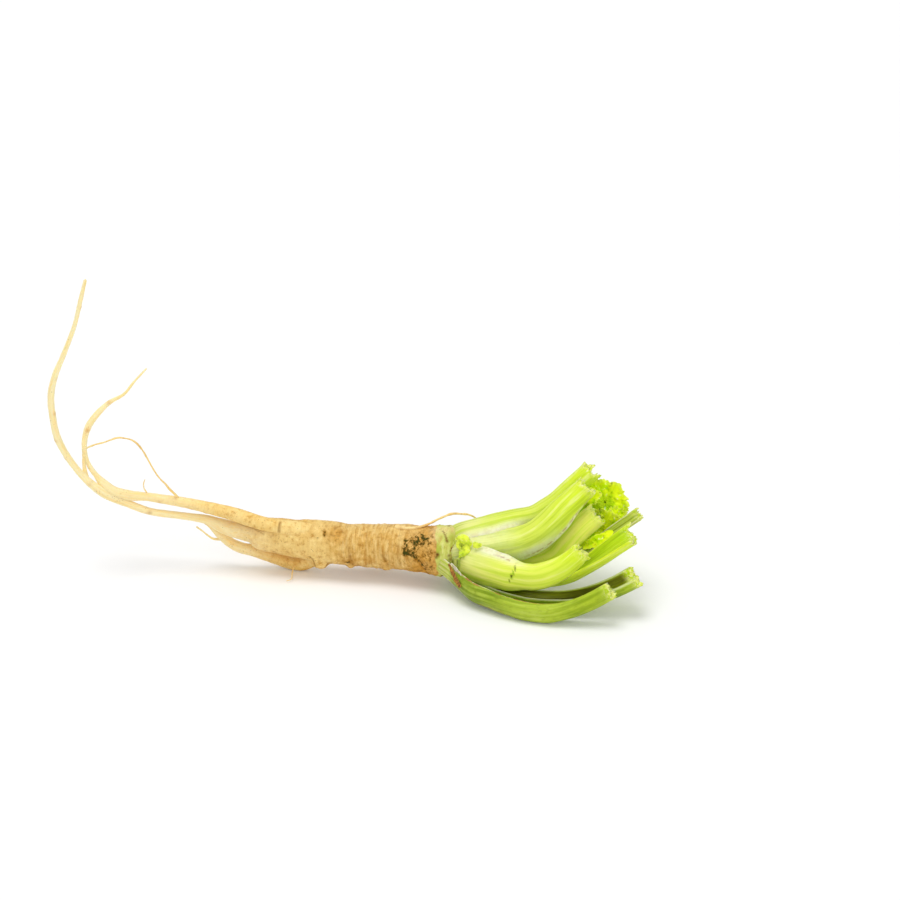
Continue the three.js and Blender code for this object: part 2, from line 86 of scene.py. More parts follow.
# ---------------------------------------------------------------- curves
class Path:
    """A smooth curve through way points, (x, y, z) or (x, y, z, radius): the same centripetal Catmull-Rom
    curve as the solid model's."""

    STEPS = 48  # samples between two way points
    REACH = 0.15  # mm to either side that a tangent is measured over

    def __init__(self, way):
        way = np.array(way, float)
        points, self.radii = way[:, :3], way[:, -1]
        points = np.vstack([2 * points[0] - points[1], points, 2 * points[-1] - points[-2]])
        samples = []
        for a, b, c, d in zip(points, points[1:], points[2:], points[3:]):
            samples.append(self.piece(a, b, c, d, np.arange(self.STEPS) / self.STEPS))
        self.points = np.vstack(samples + [points[-2:-1]])
        self.index = np.arange(len(self.points)) / self.STEPS
        steps = np.linalg.norm(np.diff(self.points, axis=0), axis=1)
        self.lengths = np.concatenate([[0], np.cumsum(steps)])
        self.length = self.lengths[-1]

    @staticmethod
    def piece(a, b, c, d, share):
        """The curve from b to c, by share of the way."""
        da, db, dc = (max(np.linalg.norm(q - p), 1e-9) ** 0.5 for p, q in ((a, b), (b, c), (c, d)))
        out_of_b = ((b - a) / da - (c - a) / (da + db) + (c - b) / db) * db
        into_c = ((c - b) / db - (d - b) / (db + dc) + (d - c) / dc) * db
        t = share[:, None]
        cubic = 2 * b - 2 * c + out_of_b + into_c
        square = -3 * b + 3 * c - 2 * out_of_b - into_c
        return b + out_of_b * t + square * t**2 + cubic * t**3

    def at(self, lengths):
        return np.stack([np.interp(lengths, self.lengths, self.points[:, k]) for k in range(3)], -1)

    def radius_at(self, lengths):
        """The radii of the way points, smoothed between them."""
        radii = self.radii
        padded = np.concatenate([[2 * radii[0] - radii[1]], radii, [2 * radii[-1] - radii[-2]]])
        index = np.interp(lengths, self.lengths, self.index)
        i = np.clip(np.floor(index).astype(int), 0, len(radii) - 2)
        t = index - i
        a, b, c, d = (padded[i + k] for k in range(4))
        slope, square, cubic = (c - a) / 2, a - 2.5 * b + 2 * c - d / 2, 1.5 * (b - c) + (d - a) / 2
        return b + slope * t + square * t**2 + cubic * t**3

    def tangents(self, lengths):
        ahead = self.at(np.minimum(lengths + self.REACH, self.length))
        behind = self.at(np.maximum(lengths - self.REACH, 0))
        return unit(ahead - behind)


def xyz(x, y, z):
    """Points from three coordinates, each a number or an array."""
    return np.stack(np.broadcast_arrays(x, y, z), -1)


def unit(v):
    """v at length 1."""
    v = np.asarray(v, float)
    return v / np.maximum(np.linalg.norm(v, axis=-1, keepdims=True), 1e-12)


def eased(pairs, t):
    """The value at t of a list of (share, value) pairs, eased between them."""
    shares, values = zip(*pairs)
    out = np.full(np.shape(t), float(values[0]))
    for low, high, start, end in zip(shares, shares[1:], values, values[1:]):
        out = np.where(t > low, start + (end - start) * smoothstep(t, low, high), out)
    return out


# ---------------------------------------------------------------- meshes
def add_object(name, data):
    thing = bpy.data.objects.new(name, data)
    bpy.context.scene.collection.objects.link(thing)
    return thing


def build(name, node, slot, material, vertices, faces, attributes):
    """A smooth-shaded object with float and vector attributes, which stands for a node of the solid model."""
    placed = (vertices - TABLE_CENTRE) * MM
    placed[:, 2] = np.maximum(placed[:, 2], 0.0)  # what rests on the table is pressed flat
    mesh = bpy.data.meshes.new(name)
    mesh.from_pydata(placed.tolist(), [], faces)
    for key, values in attributes.items():
        values = np.asarray(values, np.float32)
        kind, field = ("FLOAT_VECTOR", "vector") if values.ndim == 2 else ("FLOAT", "value")
        mesh.attributes.new(key, kind, "POINT").data.foreach_set(field, values.ravel())
    surface = bmesh.new()
    surface.from_mesh(mesh)
    bmesh.ops.recalc_face_normals(surface, faces=surface.faces)
    surface.to_mesh(mesh)
    surface.free()
    mesh.shade_smooth()
    mesh.materials.append(material)
    piece = add_object(name, mesh)
    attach(piece, "root")
    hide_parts(node)


def grid_faces(rings, sides):
    """Quads between closed rings of points."""
    faces = []
    for i in range(rings - 1):
        for k in range(sides):
            a, b = i * sides + k, i * sides + (k + 1) % sides
            faces.append((a, b, b + sides, a + sides))
    return faces


# ---------------------------------------------------------------- materials
def srgb(text):
    """A hex colour as Blender's linear RGBA."""
    values = [int(text[i : i + 2], 16) / 255 for i in (0, 2, 4)]
    return tuple(v / 12.92 if v <= 0.04045 else ((v + 0.055) / 1.055) ** 2.4 for v in values) + (1.0,)


class Shader:
    """A Principled material, and short calls for the nodes that feed it. An input is a number, a vector, an
    output of another node or the name of an attribute, and a colour is hex text or an output."""

    def __init__(self, name):
        self.material = bpy.data.materials.new(name)
        self.material.use_nodes = True
        self.tree = self.material.node_tree
        self.surface = self.tree.nodes["Principled BSDF"]

    def node(self, kind, output, values, **settings):
        made = self.tree.nodes.new("ShaderNode" + kind)
        for key, value in settings.items():
            setattr(made, key, value)
        for key, value in values.items():
            self.feed(made.inputs[key], value)
        return made.outputs[output]

    def feed(self, socket, value):
        if isinstance(value, str):
            value = self.attribute(value)
        if isinstance(value, bpy.types.NodeSocket):
            self.tree.links.new(value, socket)
        else:
            socket.default_value = value

    def attribute(self, name, output="Fac"):
        return self.node("Attribute", output, {}, attribute_name=name)

    def grain(self, across, along):
        """The grain coordinate, in mm, scaled to make streaks: 1/across mm wide and 1/along mm long."""
        values = {0: self.attribute("grain", "Vector"), 1: (across, across, along)}
        return self.node("VectorMath", 0, values, operation="MULTIPLY")

    def position(self, scale):
        """The place on the object, in mm, times the scale."""
        values = {0: self.node("TexCoord", "Object", {}), 1: (scale / MM,) * 3}
        return self.node("VectorMath", 0, values, operation="MULTIPLY")

    def noise(self, vector, detail=3.0, rough=0.5):
        values = {"Vector": vector, "Scale": 1.0, "Detail": detail, "Roughness": rough}
        return self.node("TexNoise", "Fac", values)

    def cells(self, vector):
        return self.node("TexVoronoi", "Distance", {"Vector": vector, "Scale": 1.0})

    def band(self, value, low, high, start=0.0, end=1.0):
        """value, taken from low..high to start..end with eased ends."""
        values = {"Value": value, "From Min": low, "From Max": high, "To Min": start, "To Max": end}
        return self.node("MapRange", "Result", values, interpolation_type="SMOOTHSTEP")

    def times(self, a, b):
        return self.node("Math", 0, {0: a, 1: b}, operation="MULTIPLY")

    def plus(self, a, b):
        return self.node("Math", 0, {0: a, 1: b}, operation="ADD")

    def mix(self, share, a, b):
        values = {0: share, 6: srgb(a) if isinstance(a, str) else a, 7: srgb(b) if isinstance(b, str) else b}
        return self.node("Mix", 2, values, data_type="RGBA")

    def over(self, share, colour):
        """Lays a colour over the colour so far."""
        self.colour = self.mix(share, self.colour, colour)

    def streak(self, value, low, high, strength, colour):
        """Lays a colour over the places where value is past low, up to the strength at high."""
        self.over(self.band(value, low, high, 0.0, strength), colour)

    def bump(self, height, strength, distance, **normal):
        values = {"Height": height, "Strength": strength, "Distance": distance * MM}
        return self.node("Bump", "Normal", values | normal)

    def finish(self, **values):
        for key, value in ({"Base Color": self.colour} | values).items():
            self.feed(self.surface.inputs[key], value)
        return self.material


def living(tint, weight, radius, depth):
    """Shader values of moist tissue: a soft tinted gloss, and light that passes in to a depth in mm."""
    gloss = {"Specular IOR Level": 0.25, "Specular Tint": (*tint, 1)}
    return gloss | {"Subsurface Weight": weight, "Subsurface Radius": radius, "Subsurface Scale": depth * MM}


def make_root_material(name, pale, mid, shade, tail, weight):
    """Root skin: cream to tan, with painted shade in its wrinkle troughs, under its knobs and where roots
    touch, dark cracks, dirt and freckles of some weight, and green at the collar."""
    s = Shader(name)
    rings = s.noise(s.grain(0.22, 1.1), detail=5, rough=0.62)
    hairlines = s.noise(s.grain(0.2, 3.4), detail=4, rough=0.6)
    clouds = s.noise(s.position(0.09), detail=4, rough=0.6)
    mottle = s.noise(s.position(0.75), detail=6, rough=0.72)
    fibres = s.noise(s.grain(2.2, 0.12), detail=4, rough=0.6)
    ringed = s.attribute("ringed")
    s.colour = s.mix(s.band(clouds, 0.38, 0.68), pale, mid)
    s.streak(mottle, 0.5, 0.68, 0.7, shade)
    s.streak(mottle, 0.48, 0.32, 0.8, "fbe09a")
    s.over(s.times(s.band(rings, 0.48, 0.66), ringed), shade)
    s.over(s.times(s.band(rings, 0.46, 0.34), ringed), "f6dc9a")
    s.over(s.times(s.band(hairlines, 0.52, 0.7), ringed), "b27e34")
    s.over("pale", s.mix(s.band(fibres, 0.44, 0.68), tail, "ffe2a0"))
    # painted shade in the wrinkle troughs, under the knobs and where the roots touch, over which lie the real
    # cracks and lenticels of the marks
    s.over(s.times("root_crease_shade_and_cracks", 0.85), "85540f")
    tone = s.times("tone", s.band(clouds, 0.3, 0.6, 0.4, 1.0))
    s.over(tone, s.mix(s.band(mottle, 0.4, 0.62), "cf9433", "a06a1c"))
    # the collar: the bases of old leaves, pale green with tan fibres that run round it
    fibre = s.noise(s.grain(0.34, 1.5), detail=6, rough=0.68)
    patches = s.noise(s.position(0.3), detail=3)
    collar = s.mix(s.band(patches, 0.38, 0.62), "ced26c", "b2bc46")
    collar = s.mix(s.band(fibre, 0.52, 0.64, 0.0, 0.7), collar, "b4923e")
    collar = s.mix(s.band(fibre, 0.46, 0.34, 0.0, 0.6), collar, "e6e49a")
    collar = s.mix("pale", collar, "ead494")
    edge = s.plus("collar", s.band(patches, 0.3, 0.7, -0.35, 0.35))
    s.over(s.band(edge, 0.4, 0.62), collar)
    s.over("rust", "6e4418")
    # freckles, and the dirt held in the skin
    freckles = s.cells(s.position(1.5))
    spots = s.times(s.band(freckles, 0.2, 0.1), s.band(s.noise(s.position(0.23)), 0.5, 0.6))
    s.over(s.times(spots, weight), "80541c")
    crumbs = s.noise(s.position(1.5), detail=4, rough=0.7)
    caked = s.plus("dirt", s.band(crumbs, 0.3, 0.7, -0.5, 0.5))
    halo = s.times(s.band(caked, 0.22, 0.6), s.band("dirt", 0.05, 0.35, 0.0, 0.75))
    s.over(halo, "94651a")
    dirt = s.band(caked, 0.62, 0.9)
    s.over(s.times(dirt, 0.95), s.mix(s.band(mottle, 0.44, 0.56), "54400a", "2e3a04"))
    height = s.times(s.plus(rings, hairlines), s.plus(ringed, 0.15))
    height = s.plus(height, s.times(s.plus(mottle, dirt), 0.5))
    return s.finish(
        Roughness=s.band(clouds, 0.3, 0.7, 0.5, 0.68),
        Normal=s.bump(height, 0.6, 0.16),
        **living((1, 0.8, 0.45), s.band("pale", 0.0, 1.0, 0.12, 0.3), (1, 0.8, 0.45), 1.2),
    )


def make_stalk_material():
    """Leaf stalk: moist yellow-green skin with fine ribs, pale margins and base, and wet pith at the cut,
    with pale torn bits and painted wet glints on the cut; painted shade in its rib valleys, its channel and a
    crease, and painted light where it lies in shade.
    """
    s = Shader("leaf stalk")
    ribs = s.noise(s.grain(1.0, 0.04), detail=4, rough=0.6)
    hairlines = s.noise(s.grain(4.2, 0.1), detail=3, rough=0.6)
    clouds = s.noise(s.position(0.12), detail=3)
    mottle = s.noise(s.position(0.7), detail=4, rough=0.6)
    share = s.attribute("share")
    s.colour = s.mix(s.band(share, 0.0, 0.45), "e8eb96", "dcea5c")
    s.over(s.band(share, 0.13, 0.03), s.mix(s.band(ribs, 0.42, 0.6), "d6d886", "b6bc54"))
    s.streak(share, 0.5, 0.95, 0.8, "d8ee24")
    s.streak(ribs, 0.5, 0.62, 0.6, "b6d024")
    s.streak(ribs, 0.46, 0.34, 0.6, "f4f7a0")
    s.streak(hairlines, 0.56, 0.7, 0.3, "a6c222")
    s.streak(clouds, 0.48, 0.7, 0.4, "d3e84c")
    # painted shade in the valleys between the ribs of the relief
    s.over("rib", "98b430")
    # painted light: lightens parts of the stalks that lie in shade
    s.over("light", s.mix(s.band(ribs, 0.42, 0.6), "ffff80", "e9f856"))
    shaded = s.mix(s.band(ribs, 0.4, 0.62), "a0b634", "728c1a")
    shaded = s.mix(s.band(s.noise(s.grain(2.6, 0.7), detail=4), 0.52, 0.66, 0.0, 0.5), shaded, "66780c")
    s.over(s.times("shade", s.band(clouds, 0.3, 0.6, 0.65, 1.0)), shaded)
    s.over(s.times("grey", 0.8), s.mix(s.band(ribs, 0.44, 0.56), "aaae5c", "767030"))
    s.over("margin", s.mix(s.band(mottle, 0.4, 0.65), "f6f5d6", "ebe5c2"))
    s.over(s.times("inner", 0.85), s.mix(s.band(ribs, 0.4, 0.6), "c0e008", "98bc00"))
    # painted shade deep inside the channel
    s.over("deep", s.mix(s.band(ribs, 0.42, 0.62), "6e7604", "484a00"))
    s.over(s.times("rust", s.band(mottle, 0.42, 0.56)), "a0542c")
    # painted shade under the crown bud
    s.over("green", "7ea400")
    # a real bruise, and painted shade in the crease at the front stalk's base
    s.over("bruising_and_crease_shade", s.mix(s.band(mottle, 0.45, 0.55), "8cb400", "343c04"))
    pith = s.mix(s.band(s.noise(s.position(1.3), detail=4), 0.4, 0.62), "f2f58c", "c4e01c")
    vessels = s.band(s.cells(s.position(0.95)), 0.22, 0.1)
    pith = s.mix(s.times(vessels, 0.55), pith, "86a61c")
    # pale torn bits of the cut, with painted wet glints
    pale_bits_and_wet_glints = s.band(s.noise(s.position(2.1), detail=3), 0.58, 0.66, 0.0, 0.7)
    s.over("cut", s.mix(pale_bits_and_wet_glints, pith, "fbfbe0"))
    height = s.plus(s.times(ribs, 0.7), s.times(hairlines, 0.4))
    wet = s.bump(mottle, 0.3, 0.3, Normal=s.bump(height, 0.45, 0.2))
    return s.finish(
        Roughness=s.band(clouds, 0.3, 0.7, 0.34, 0.48),
        Normal=wet,
        **living((0.95, 1, 0.35), 0.4, (0.9, 1, 0.2), 2.2),
    )


def make_leaf_material(name, bright, green, fold, depth):
    """Young leaf: bright green, with painted shade in its folds and hollows, a painted highlight along its
    rims, and a net of pale veins.
    """
    s = Shader(name)
    clouds = s.noise(s.position(0.35), detail=4)
    veins = s.band(s.cells(s.position(0.8)), 0.32, 0.12)
    s.colour = s.mix(s.band(clouds, 0.4, 0.64), bright, green)
    s.over(s.times(veins, 0.25), "98c400")
    # painted shade in the folds and hollows
    s.over("inner", s.mix(s.band(clouds, 0.4, 0.6), fold, depth))
    # painted highlight along the rims
    s.over(s.times("margin", 0.7), "eefa5c")
    specks = s.band(s.noise(s.position(1.1), detail=3), 0.62, 0.7, 0.0, 0.7)
    s.over(s.times(specks, s.band("inner", 0.5, 0.0)), "fafca8")
    return s.finish(
        Roughness=0.42,
        Normal=s.bump(s.plus(clouds, veins), 0.8, 0.35),
        **living((0.95, 1, 0.3), 0.25, (0.8, 1, 0.15), 1.5),
    )


def make_sheath_material(name, pale, dark, spot):
    """Dry leaf base: papery, in long fibres."""
    s = Shader(name)
    fibres = s.noise(s.grain(4.0, 0.5), detail=4, rough=0.65)
    s.colour = s.mix(s.band(fibres, 0.4, 0.62), pale, dark)
    mottle = s.noise(s.position(0.9), detail=4, rough=0.65)
    s.streak(mottle, 0.52, 0.62, 0.8, spot)
    return s.finish(Roughness=0.75, Normal=s.bump(fibres, 0.7, 0.15))


# ---------------------------------------------------------------- roots
def segment_distance(x, y, a, b):
    """Distance on the skin from points (x, y) to the segment from a to b."""
    along = np.array(b, float) - np.array(a, float)
    share = ((x - a[0]) * along[0] + (y - a[1]) * along[1]) / max(along @ along, 1e-9)
    share = np.clip(share, 0, 1)
    return np.hypot(x - a[0] - share * along[0], y - a[1] - share * along[1])


def marks_on(skin, turn, radius, marks):
    """Depth and darkness of narrow marks. Each is (x, degrees) at its two ends, then its width, depth and
    darkness; degrees go from the top towards the viewer."""
    depth, dark = np.zeros(turn.shape), np.zeros(turn.shape)
    girth = 0.9 * radius.max()
    wobble = 0.3 * value_noise(skin * 0.9, 71)
    for (x0, a0), (x1, a1), width, deep, darkness in marks:
        ends = (x0, radians(a0) * girth), (x1, radians(a1) * girth)
        far = segment_distance(skin[..., 0] + wobble, turn * girth + wobble, *ends)
        shade = np.exp(-((far / width) ** 2))
        depth += deep * shade
        dark = np.maximum(dark, darkness * shade)
    return depth, dark


SAMPLE_STEP = 0.4  # mm between the places where a neighbouring root is measured
SEARCH_MARGIN = 8  # mm round a neighbour, past which nothing is close
LEAST_RADIUS = 0.25  # mm over which the end of the thinnest hair is rounded
LEAST_END = 0.03  # share of the radius that is left at an end


def closeness(points, way, reach):
    """1 where a point touches the skin of the root along way, easing to 0 at reach from it."""
    path = Path(way)
    lengths = np.arange(0, path.length, SAMPLE_STEP)
    centres = path.at(lengths)
    radius = path.radius_at(lengths)
    tree = KDTree(len(centres))
    for i, centre in enumerate(centres):
        tree.insert(centre, i)
    tree.balance()
    flat = points.reshape(-1, 3)
    gaps = np.full(len(flat), reach)
    low, high = centres.min(0) - SEARCH_MARGIN, centres.max(0) + SEARCH_MARGIN
    for i in np.flatnonzero(np.all((flat > low) & (flat < high), axis=1)):
        _, near, distance = tree.find(flat[i])
        gaps[i] = distance - radius[near]
    return (1 - smoothstep(gaps, 0.1 * reach, reach)).reshape(points.shape[:-1])


def make_root(name, way, material, slot, spacing, sides, shape):
    """A root along its way points, each (x, y, z, radius), rounded over at its ends. spacing(x) is the gap
    between rings. shape takes the skin's points, their turn from the top, the radius and coordinates for
    noise. It gives the skin's rise over the radius and the attributes that its material reads."""
    path = Path(way)
    lengths = [0.0]
    while lengths[-1] < path.length:
        lengths.append(lengths[-1] + spacing(path.at(lengths[-1])[0]))
    lengths = np.array(lengths) * path.length / lengths[-1]
    radius = path.radius_at(lengths)[:, None]
    tangents = path.tangents(lengths)
    up = np.empty_like(tangents)
    normal = UP
    for i, tangent in enumerate(tangents):
        normal = unit(normal - tangent * (normal @ tangent))
        up[i] = normal
    near_side = np.cross(up, tangents)
    if near_side[0] @ TOWARDS_VIEWER < 0:
        near_side = -near_side
    angle = np.broadcast_to(np.arange(sides) * 2 * pi / sides, (len(lengths), sides))
    out = np.cos(angle)[..., None] * up[:, None] + np.sin(angle)[..., None] * near_side[:, None]
    centre = path.at(lengths)[:, None]
    turn = (angle + pi) % (2 * pi) - pi
    straight = xyz(radius * np.cos(angle), radius * np.sin(angle), lengths[:, None])  # noise here has no seam
    rise, attributes = shape(centre + out * radius[..., None], turn, radius, straight)
    attributes["grain"] = straight
    end = np.minimum(lengths, path.length - lengths)[:, None]
    round_over = np.sqrt(1 - (1 - np.clip(end / np.maximum(radius, LEAST_RADIUS), 0, 1)) ** 2)
    rings = centre + out * ((radius + rise) * np.maximum(round_over, LEAST_END))[..., None]
    faces = grid_faces(len(lengths), sides)
    faces.append(tuple(range(sides)))
    faces.append(tuple(range((len(lengths) - 1) * sides, len(lengths) * sides)))
    for key, value in attributes.items():
        attributes[key] = np.reshape(value, (-1, 3) if np.ndim(value) == 3 else -1)
    build(f"{name}_fine", name, slot, material, rings.reshape(-1, 3), faces, attributes)


TAPROOT = [
    (8, -8.2, 10, 1), (5.4, -7.5, 9.9, 2.6), (2.8, -6.7, 9.8, 4.4), (0.5, -5.9, 9.8, 5.8),
    (-2.6, -4.8, 9.5, 6.6), (-6, -3.4, 9.2, 6.1), (-12.6, -1.5, 9, 6.05), (-19.5, 0, 8.8, 5.85),
    (-29.6, 1, 8.9, 5.45), (-39.7, 2.5, 9.6, 5), (-45.5, 3, 10.4, 4.8), (-50, 3.4, 10.7, 4.3),
    (-52.4, 3.7, 11.3, 3.3), (-55.7, 4.1, 11.6, 2.75), (-58.4, 4.5, 11.8, 2.15), (-61.6, 5, 12.8, 1.65),
    (-64, 5.5, 13.7, 1.25), (-68.2, 6, 14.3, 1.05), (-71.7, 6, 14.8, 1), (-79.6, 6, 16, 1),
    (-84.5, 6, 17.9, 1.05), (-88.5, 6, 19.7, 1.1), (-91.6, 5.8, 21.4, 1.15), (-94.5, 5.6, 23.8, 1),
    (-97.4, 5.4, 27.3, 0.95), (-100.3, 5, 32, 0.92), (-102.6, 4, 38, 0.9), (-103.3, 3, 44.6, 0.88),
    (-103.2, 2, 50, 0.85), (-101.9, 1.2, 55.5, 0.78), (-99, 0.5, 62.3, 0.68), (-95.6, -1, 70.4, 0.62),
    (-93.3, -3, 78.1, 0.54), (-91.6, -4, 84, 0.42),
]
# stretches along x, each (from, to), over which the skin changes
TAIL_TO_TRUNK = (-64, -54)
TRUNK_TO_CROWN = (-10, -3)
RINGS_START, RINGS_END = (-34, -24), (-12, -8)
PARTING = (-54, -45)  # where the side roots leave the trunk
REJOINING = (80, 84)  # of -x, where the long side root meets the tail again
TIP = (-98, -86)
COLLAR_EDGE = (-4.6, -3)
COLLAR_TOP = (0.6, -0.2, 0.7)  # x, turn from the top in radians, height
# stubs of broken side roots: place, height, spread
KNOBS = [((-34.3, -0.4, 4.4), 1.5, 2), ((-26.2, -1.2, 4.4), 0.9, 1.2), ((-16.6, -3.6, 4.6), 0.5, 1.4)]
SIDE_ROOT_LONG = [
    (-30, 1.6, 11.6, 1.5), (-35, 1.1, 12.4, 1.75), (-39.5, 0.3, 13.3, 1.85), (-43.5, -0.2, 14.2, 1.8),
    (-47.9, 0, 14.9, 1.75), (-51.9, 0.9, 15.6, 1.8), (-55.4, 2.2, 16.3, 1.85), (-59.4, 3.4, 17, 1.75),
    (-63.5, 4.5, 17.6, 1.6), (-68.8, 5.5, 18.5, 1.4), (-74.2, 6.2, 19.2, 1.25), (-79.5, 6.4, 20, 1.2),
    (-84.8, 6.4, 20.6, 1.25), (-88.7, 6.3, 21.7, 1.25), (-91, 6.8, 23.3, 1.1), (-93.4, 7.8, 25.4, 0.72),
    (-95.5, 8.8, 28.2, 0.64), (-96.5, 9.4, 31.6, 0.66), (-96.3, 10, 35.4, 0.76), (-95.1, 10.3, 38.9, 0.85),
    (-92.6, 10.6, 42.2, 0.8), (-89.3, 10.8, 45.2, 0.6), (-85.5, 11, 47.4, 0.4), (-82.8, 11.5, 50.6, 0.34),
    (-79.3, 12, 54.3, 0.22),
]
SIDE_ROOT_LOW = [
    (-33, 2.4, 5.4, 1.5), (-36.7, 3.2, 3, 1.8), (-40, 4.3, 1.5, 1.9), (-43.2, 4.9, 1.8, 1.75),
    (-46.4, 5.2, 2.9, 1.7), (-49.6, 5.4, 3.9, 1.6), (-52.6, 5.6, 4.9, 1.6), (-55.2, 5.8, 5.4, 1.5),
    (-57.9, 6.2, 6.4, 1.4), (-60, 6.6, 8, 1.3), (-61.9, 7, 9.7, 1.15), (-63.4, 7, 11.4, 0.95),
    (-64.7, 6.6, 12.7, 0.8), (-66.3, 6.2, 13.8, 0.6),
]
SIDE_ROOT_BACK = [
    (-17, 3.6, 7, 1.3), (-19.5, 8.4, 4.4, 1.2), (-25, 12.6, 1.9, 1.05), (-33, 15.2, 1.3, 0.85),
    (-41, 15.4, 1.6, 0.6), (-48, 17.5, 2.6, 0.35),
]
HAIR_ROOTS = {
    "rootlet_arched": [
        (-71.4, 6, 19.4, 0.42), (-73.4, 5, 22.4, 0.4), (-75.5, 4, 25.9, 0.34), (-78, 2.6, 30.4, 0.32),
        (-79.8, 1.6, 34.8, 0.34), (-81.2, 1, 37.3, 0.34), (-82.9, 0.6, 38.7, 0.32), (-85.5, 0.6, 39.1, 0.3),
        (-89, 1.6, 38, 0.34), (-92.5, 3.6, 36.1, 0.36), (-96, 7.2, 33.2, 0.4), (-96.8, 8.4, 30, 0.62),
        (-96.2, 7.2, 26.9, 0.72), (-95.2, 6, 24.4, 0.75),
    ],
    "rootlet_low": [
        (-61, 7.3, 7.4, 0.5), (-63, 7.6, 7.2, 0.44), (-65.3, 7, 9.3, 0.36), (-67.6, 6.6, 11.4, 0.3),
    ],
    "rootlet_over_collar": [
        (-14.6, -2, 15, 0.75), (-12.4, -2.8, 15.2, 0.7), (-10.5, -3.3, 15.3, 0.6), (-7.9, -3, 15.6, 0.5),
        (-5.2, -2, 16, 0.46), (-2.6, -1, 16.9, 0.44), (0, 0, 17.6, 0.42), (2.4, 1, 17.6, 0.4),
        (5.3, 2, 16.8, 0.36), (6.9, 3.2, 15.2, 0.3),
    ],
    "hair_root_table": [
        (-40.6, 3.6, 2.2, 0.26), (-41.9, 0.6, 1.2, 0.22), (-41.6, -2, 0.5, 0.2), (-43.2, -4.4, 0.5, 0.16),
    ],
    "hair_root_upper": [
        (-80.2, 6.8, 21, 0.26), (-81.2, 6.2, 23, 0.22), (-80.4, 5.8, 25.4, 0.16),
    ],
}
KNOT_HEIGHT, KNOT_SPREAD, KNOT_TONE = 0.12, 0.6, 0.6
# the knots of the thin ends, a little swollen and brown
KNOTS = [
    (-93.1, -2.4, 76), (-100.9, 0.6, 55.2), (-102.4, 2.4, 45.2), (-103, 3.6, 37.2), (-101, 4.6, 31.7),
    (-95, 5.2, 24.3), (-89.6, 10.4, 45.2), (-95.4, 9.6, 37.8), (-79.6, 5.2, 16), (-68.6, 4.6, 17.4),
    (-64.6, 4.2, 16.6), (-76.8, 5.4, 19), (-51.6, -0.6, 14.1), (-46, -1.6, 12.4),
]
# cracks and lenticels of the taproot's skin: two ends (x, degrees from the top), width, depth, darkness
TRUNK_MARKS = [
    ((-9, 90), (-6.6, 130), 0.3, 0.35, 1), ((-6.6, 130), (-4, 158), 0.4, 0.45, 1),
    ((-27.6, 36), (-26.2, 98), 0.7, 0.14, 0.3), ((-26.2, 98), (-25.8, 140), 0.4, 0.25, 0.85),
    ((-17.6, 92), (-16.4, 122), 0.45, 0.18, 0.75), ((-37, 122), (-35.4, 150), 0.25, 0.4, 0.95),
    ((-32.8, 156), (-31.2, 142), 0.25, 0.3, 0.9), ((-51.6, 54), (-49, 66), 0.18, 0.08, 0.6),
    ((-22, 40), (-21.4, 66), 0.4, 0.06, 0.25), ((-19.4, 30), (-18.6, 80), 0.5, 0.08, 0.2),
    ((-13.6, 60), (-13, 118), 0.4, 0.1, 0.35), ((-1.2, 8), (-0.5, 34), 0.2, 0.1, 0.8),
    ((0.6, 56), (1, 74), 0.25, 0.1, 0.9),
]
# brown scars on the collar: x, degrees, spread in mm, strength
COLLAR_SPOTS = [
    (-0.3, -12, 0.4, 1), (-0.8, 39, 0.4, 1.1), (-0.9, 35, 0.28, 1), (-1, 31, 0.28, 1), (-1.15, 27, 0.28, 1),
    (-1.3, 23, 0.28, 1), (-1.55, 18, 0.26, 1), (-1.8, 14, 0.24, 0.9), (-3.3, 76, 0.5, 1.2),
    (-3.6, 82, 0.4, 0.9), (1.1, 49, 0.3, 1.1), (0.6, 56, 0.3, 1.1), (0.2, 63, 0.3, 1), (-0.3, 78, 0.4, 0.8),
    (0, 88, 0.4, 0.7),
]
# paler, drier areas of the collar: x, degrees, spread in mm, strength
COLLAR_PALE = [(-3.4, 12, 1.4, 0.8), (-1.4, 6, 1.6, 0.7), (0.8, 0, 1.4, 0.6), (-3.8, 34, 1.2, 0.6)]
# darker, browner areas of the skin: x, degrees, spread in mm, strength
TRUNK_BLOTCHES = [
    (-30.2, 35, 3.2, 0.95), (-32.8, 38, 1.3, 1), (-36.4, 44, 1.4, 0.5), (-26.4, 122, 1.6, 1),
    (-22.4, 46, 2.4, 0.4), (-17, 112, 1.5, 0.85), (-7, 100, 3.4, 0.9), (-9, 44, 4, 1), (-11.4, 76, 2.4, 1),
    (-28, 150, 3, 0.5),
]
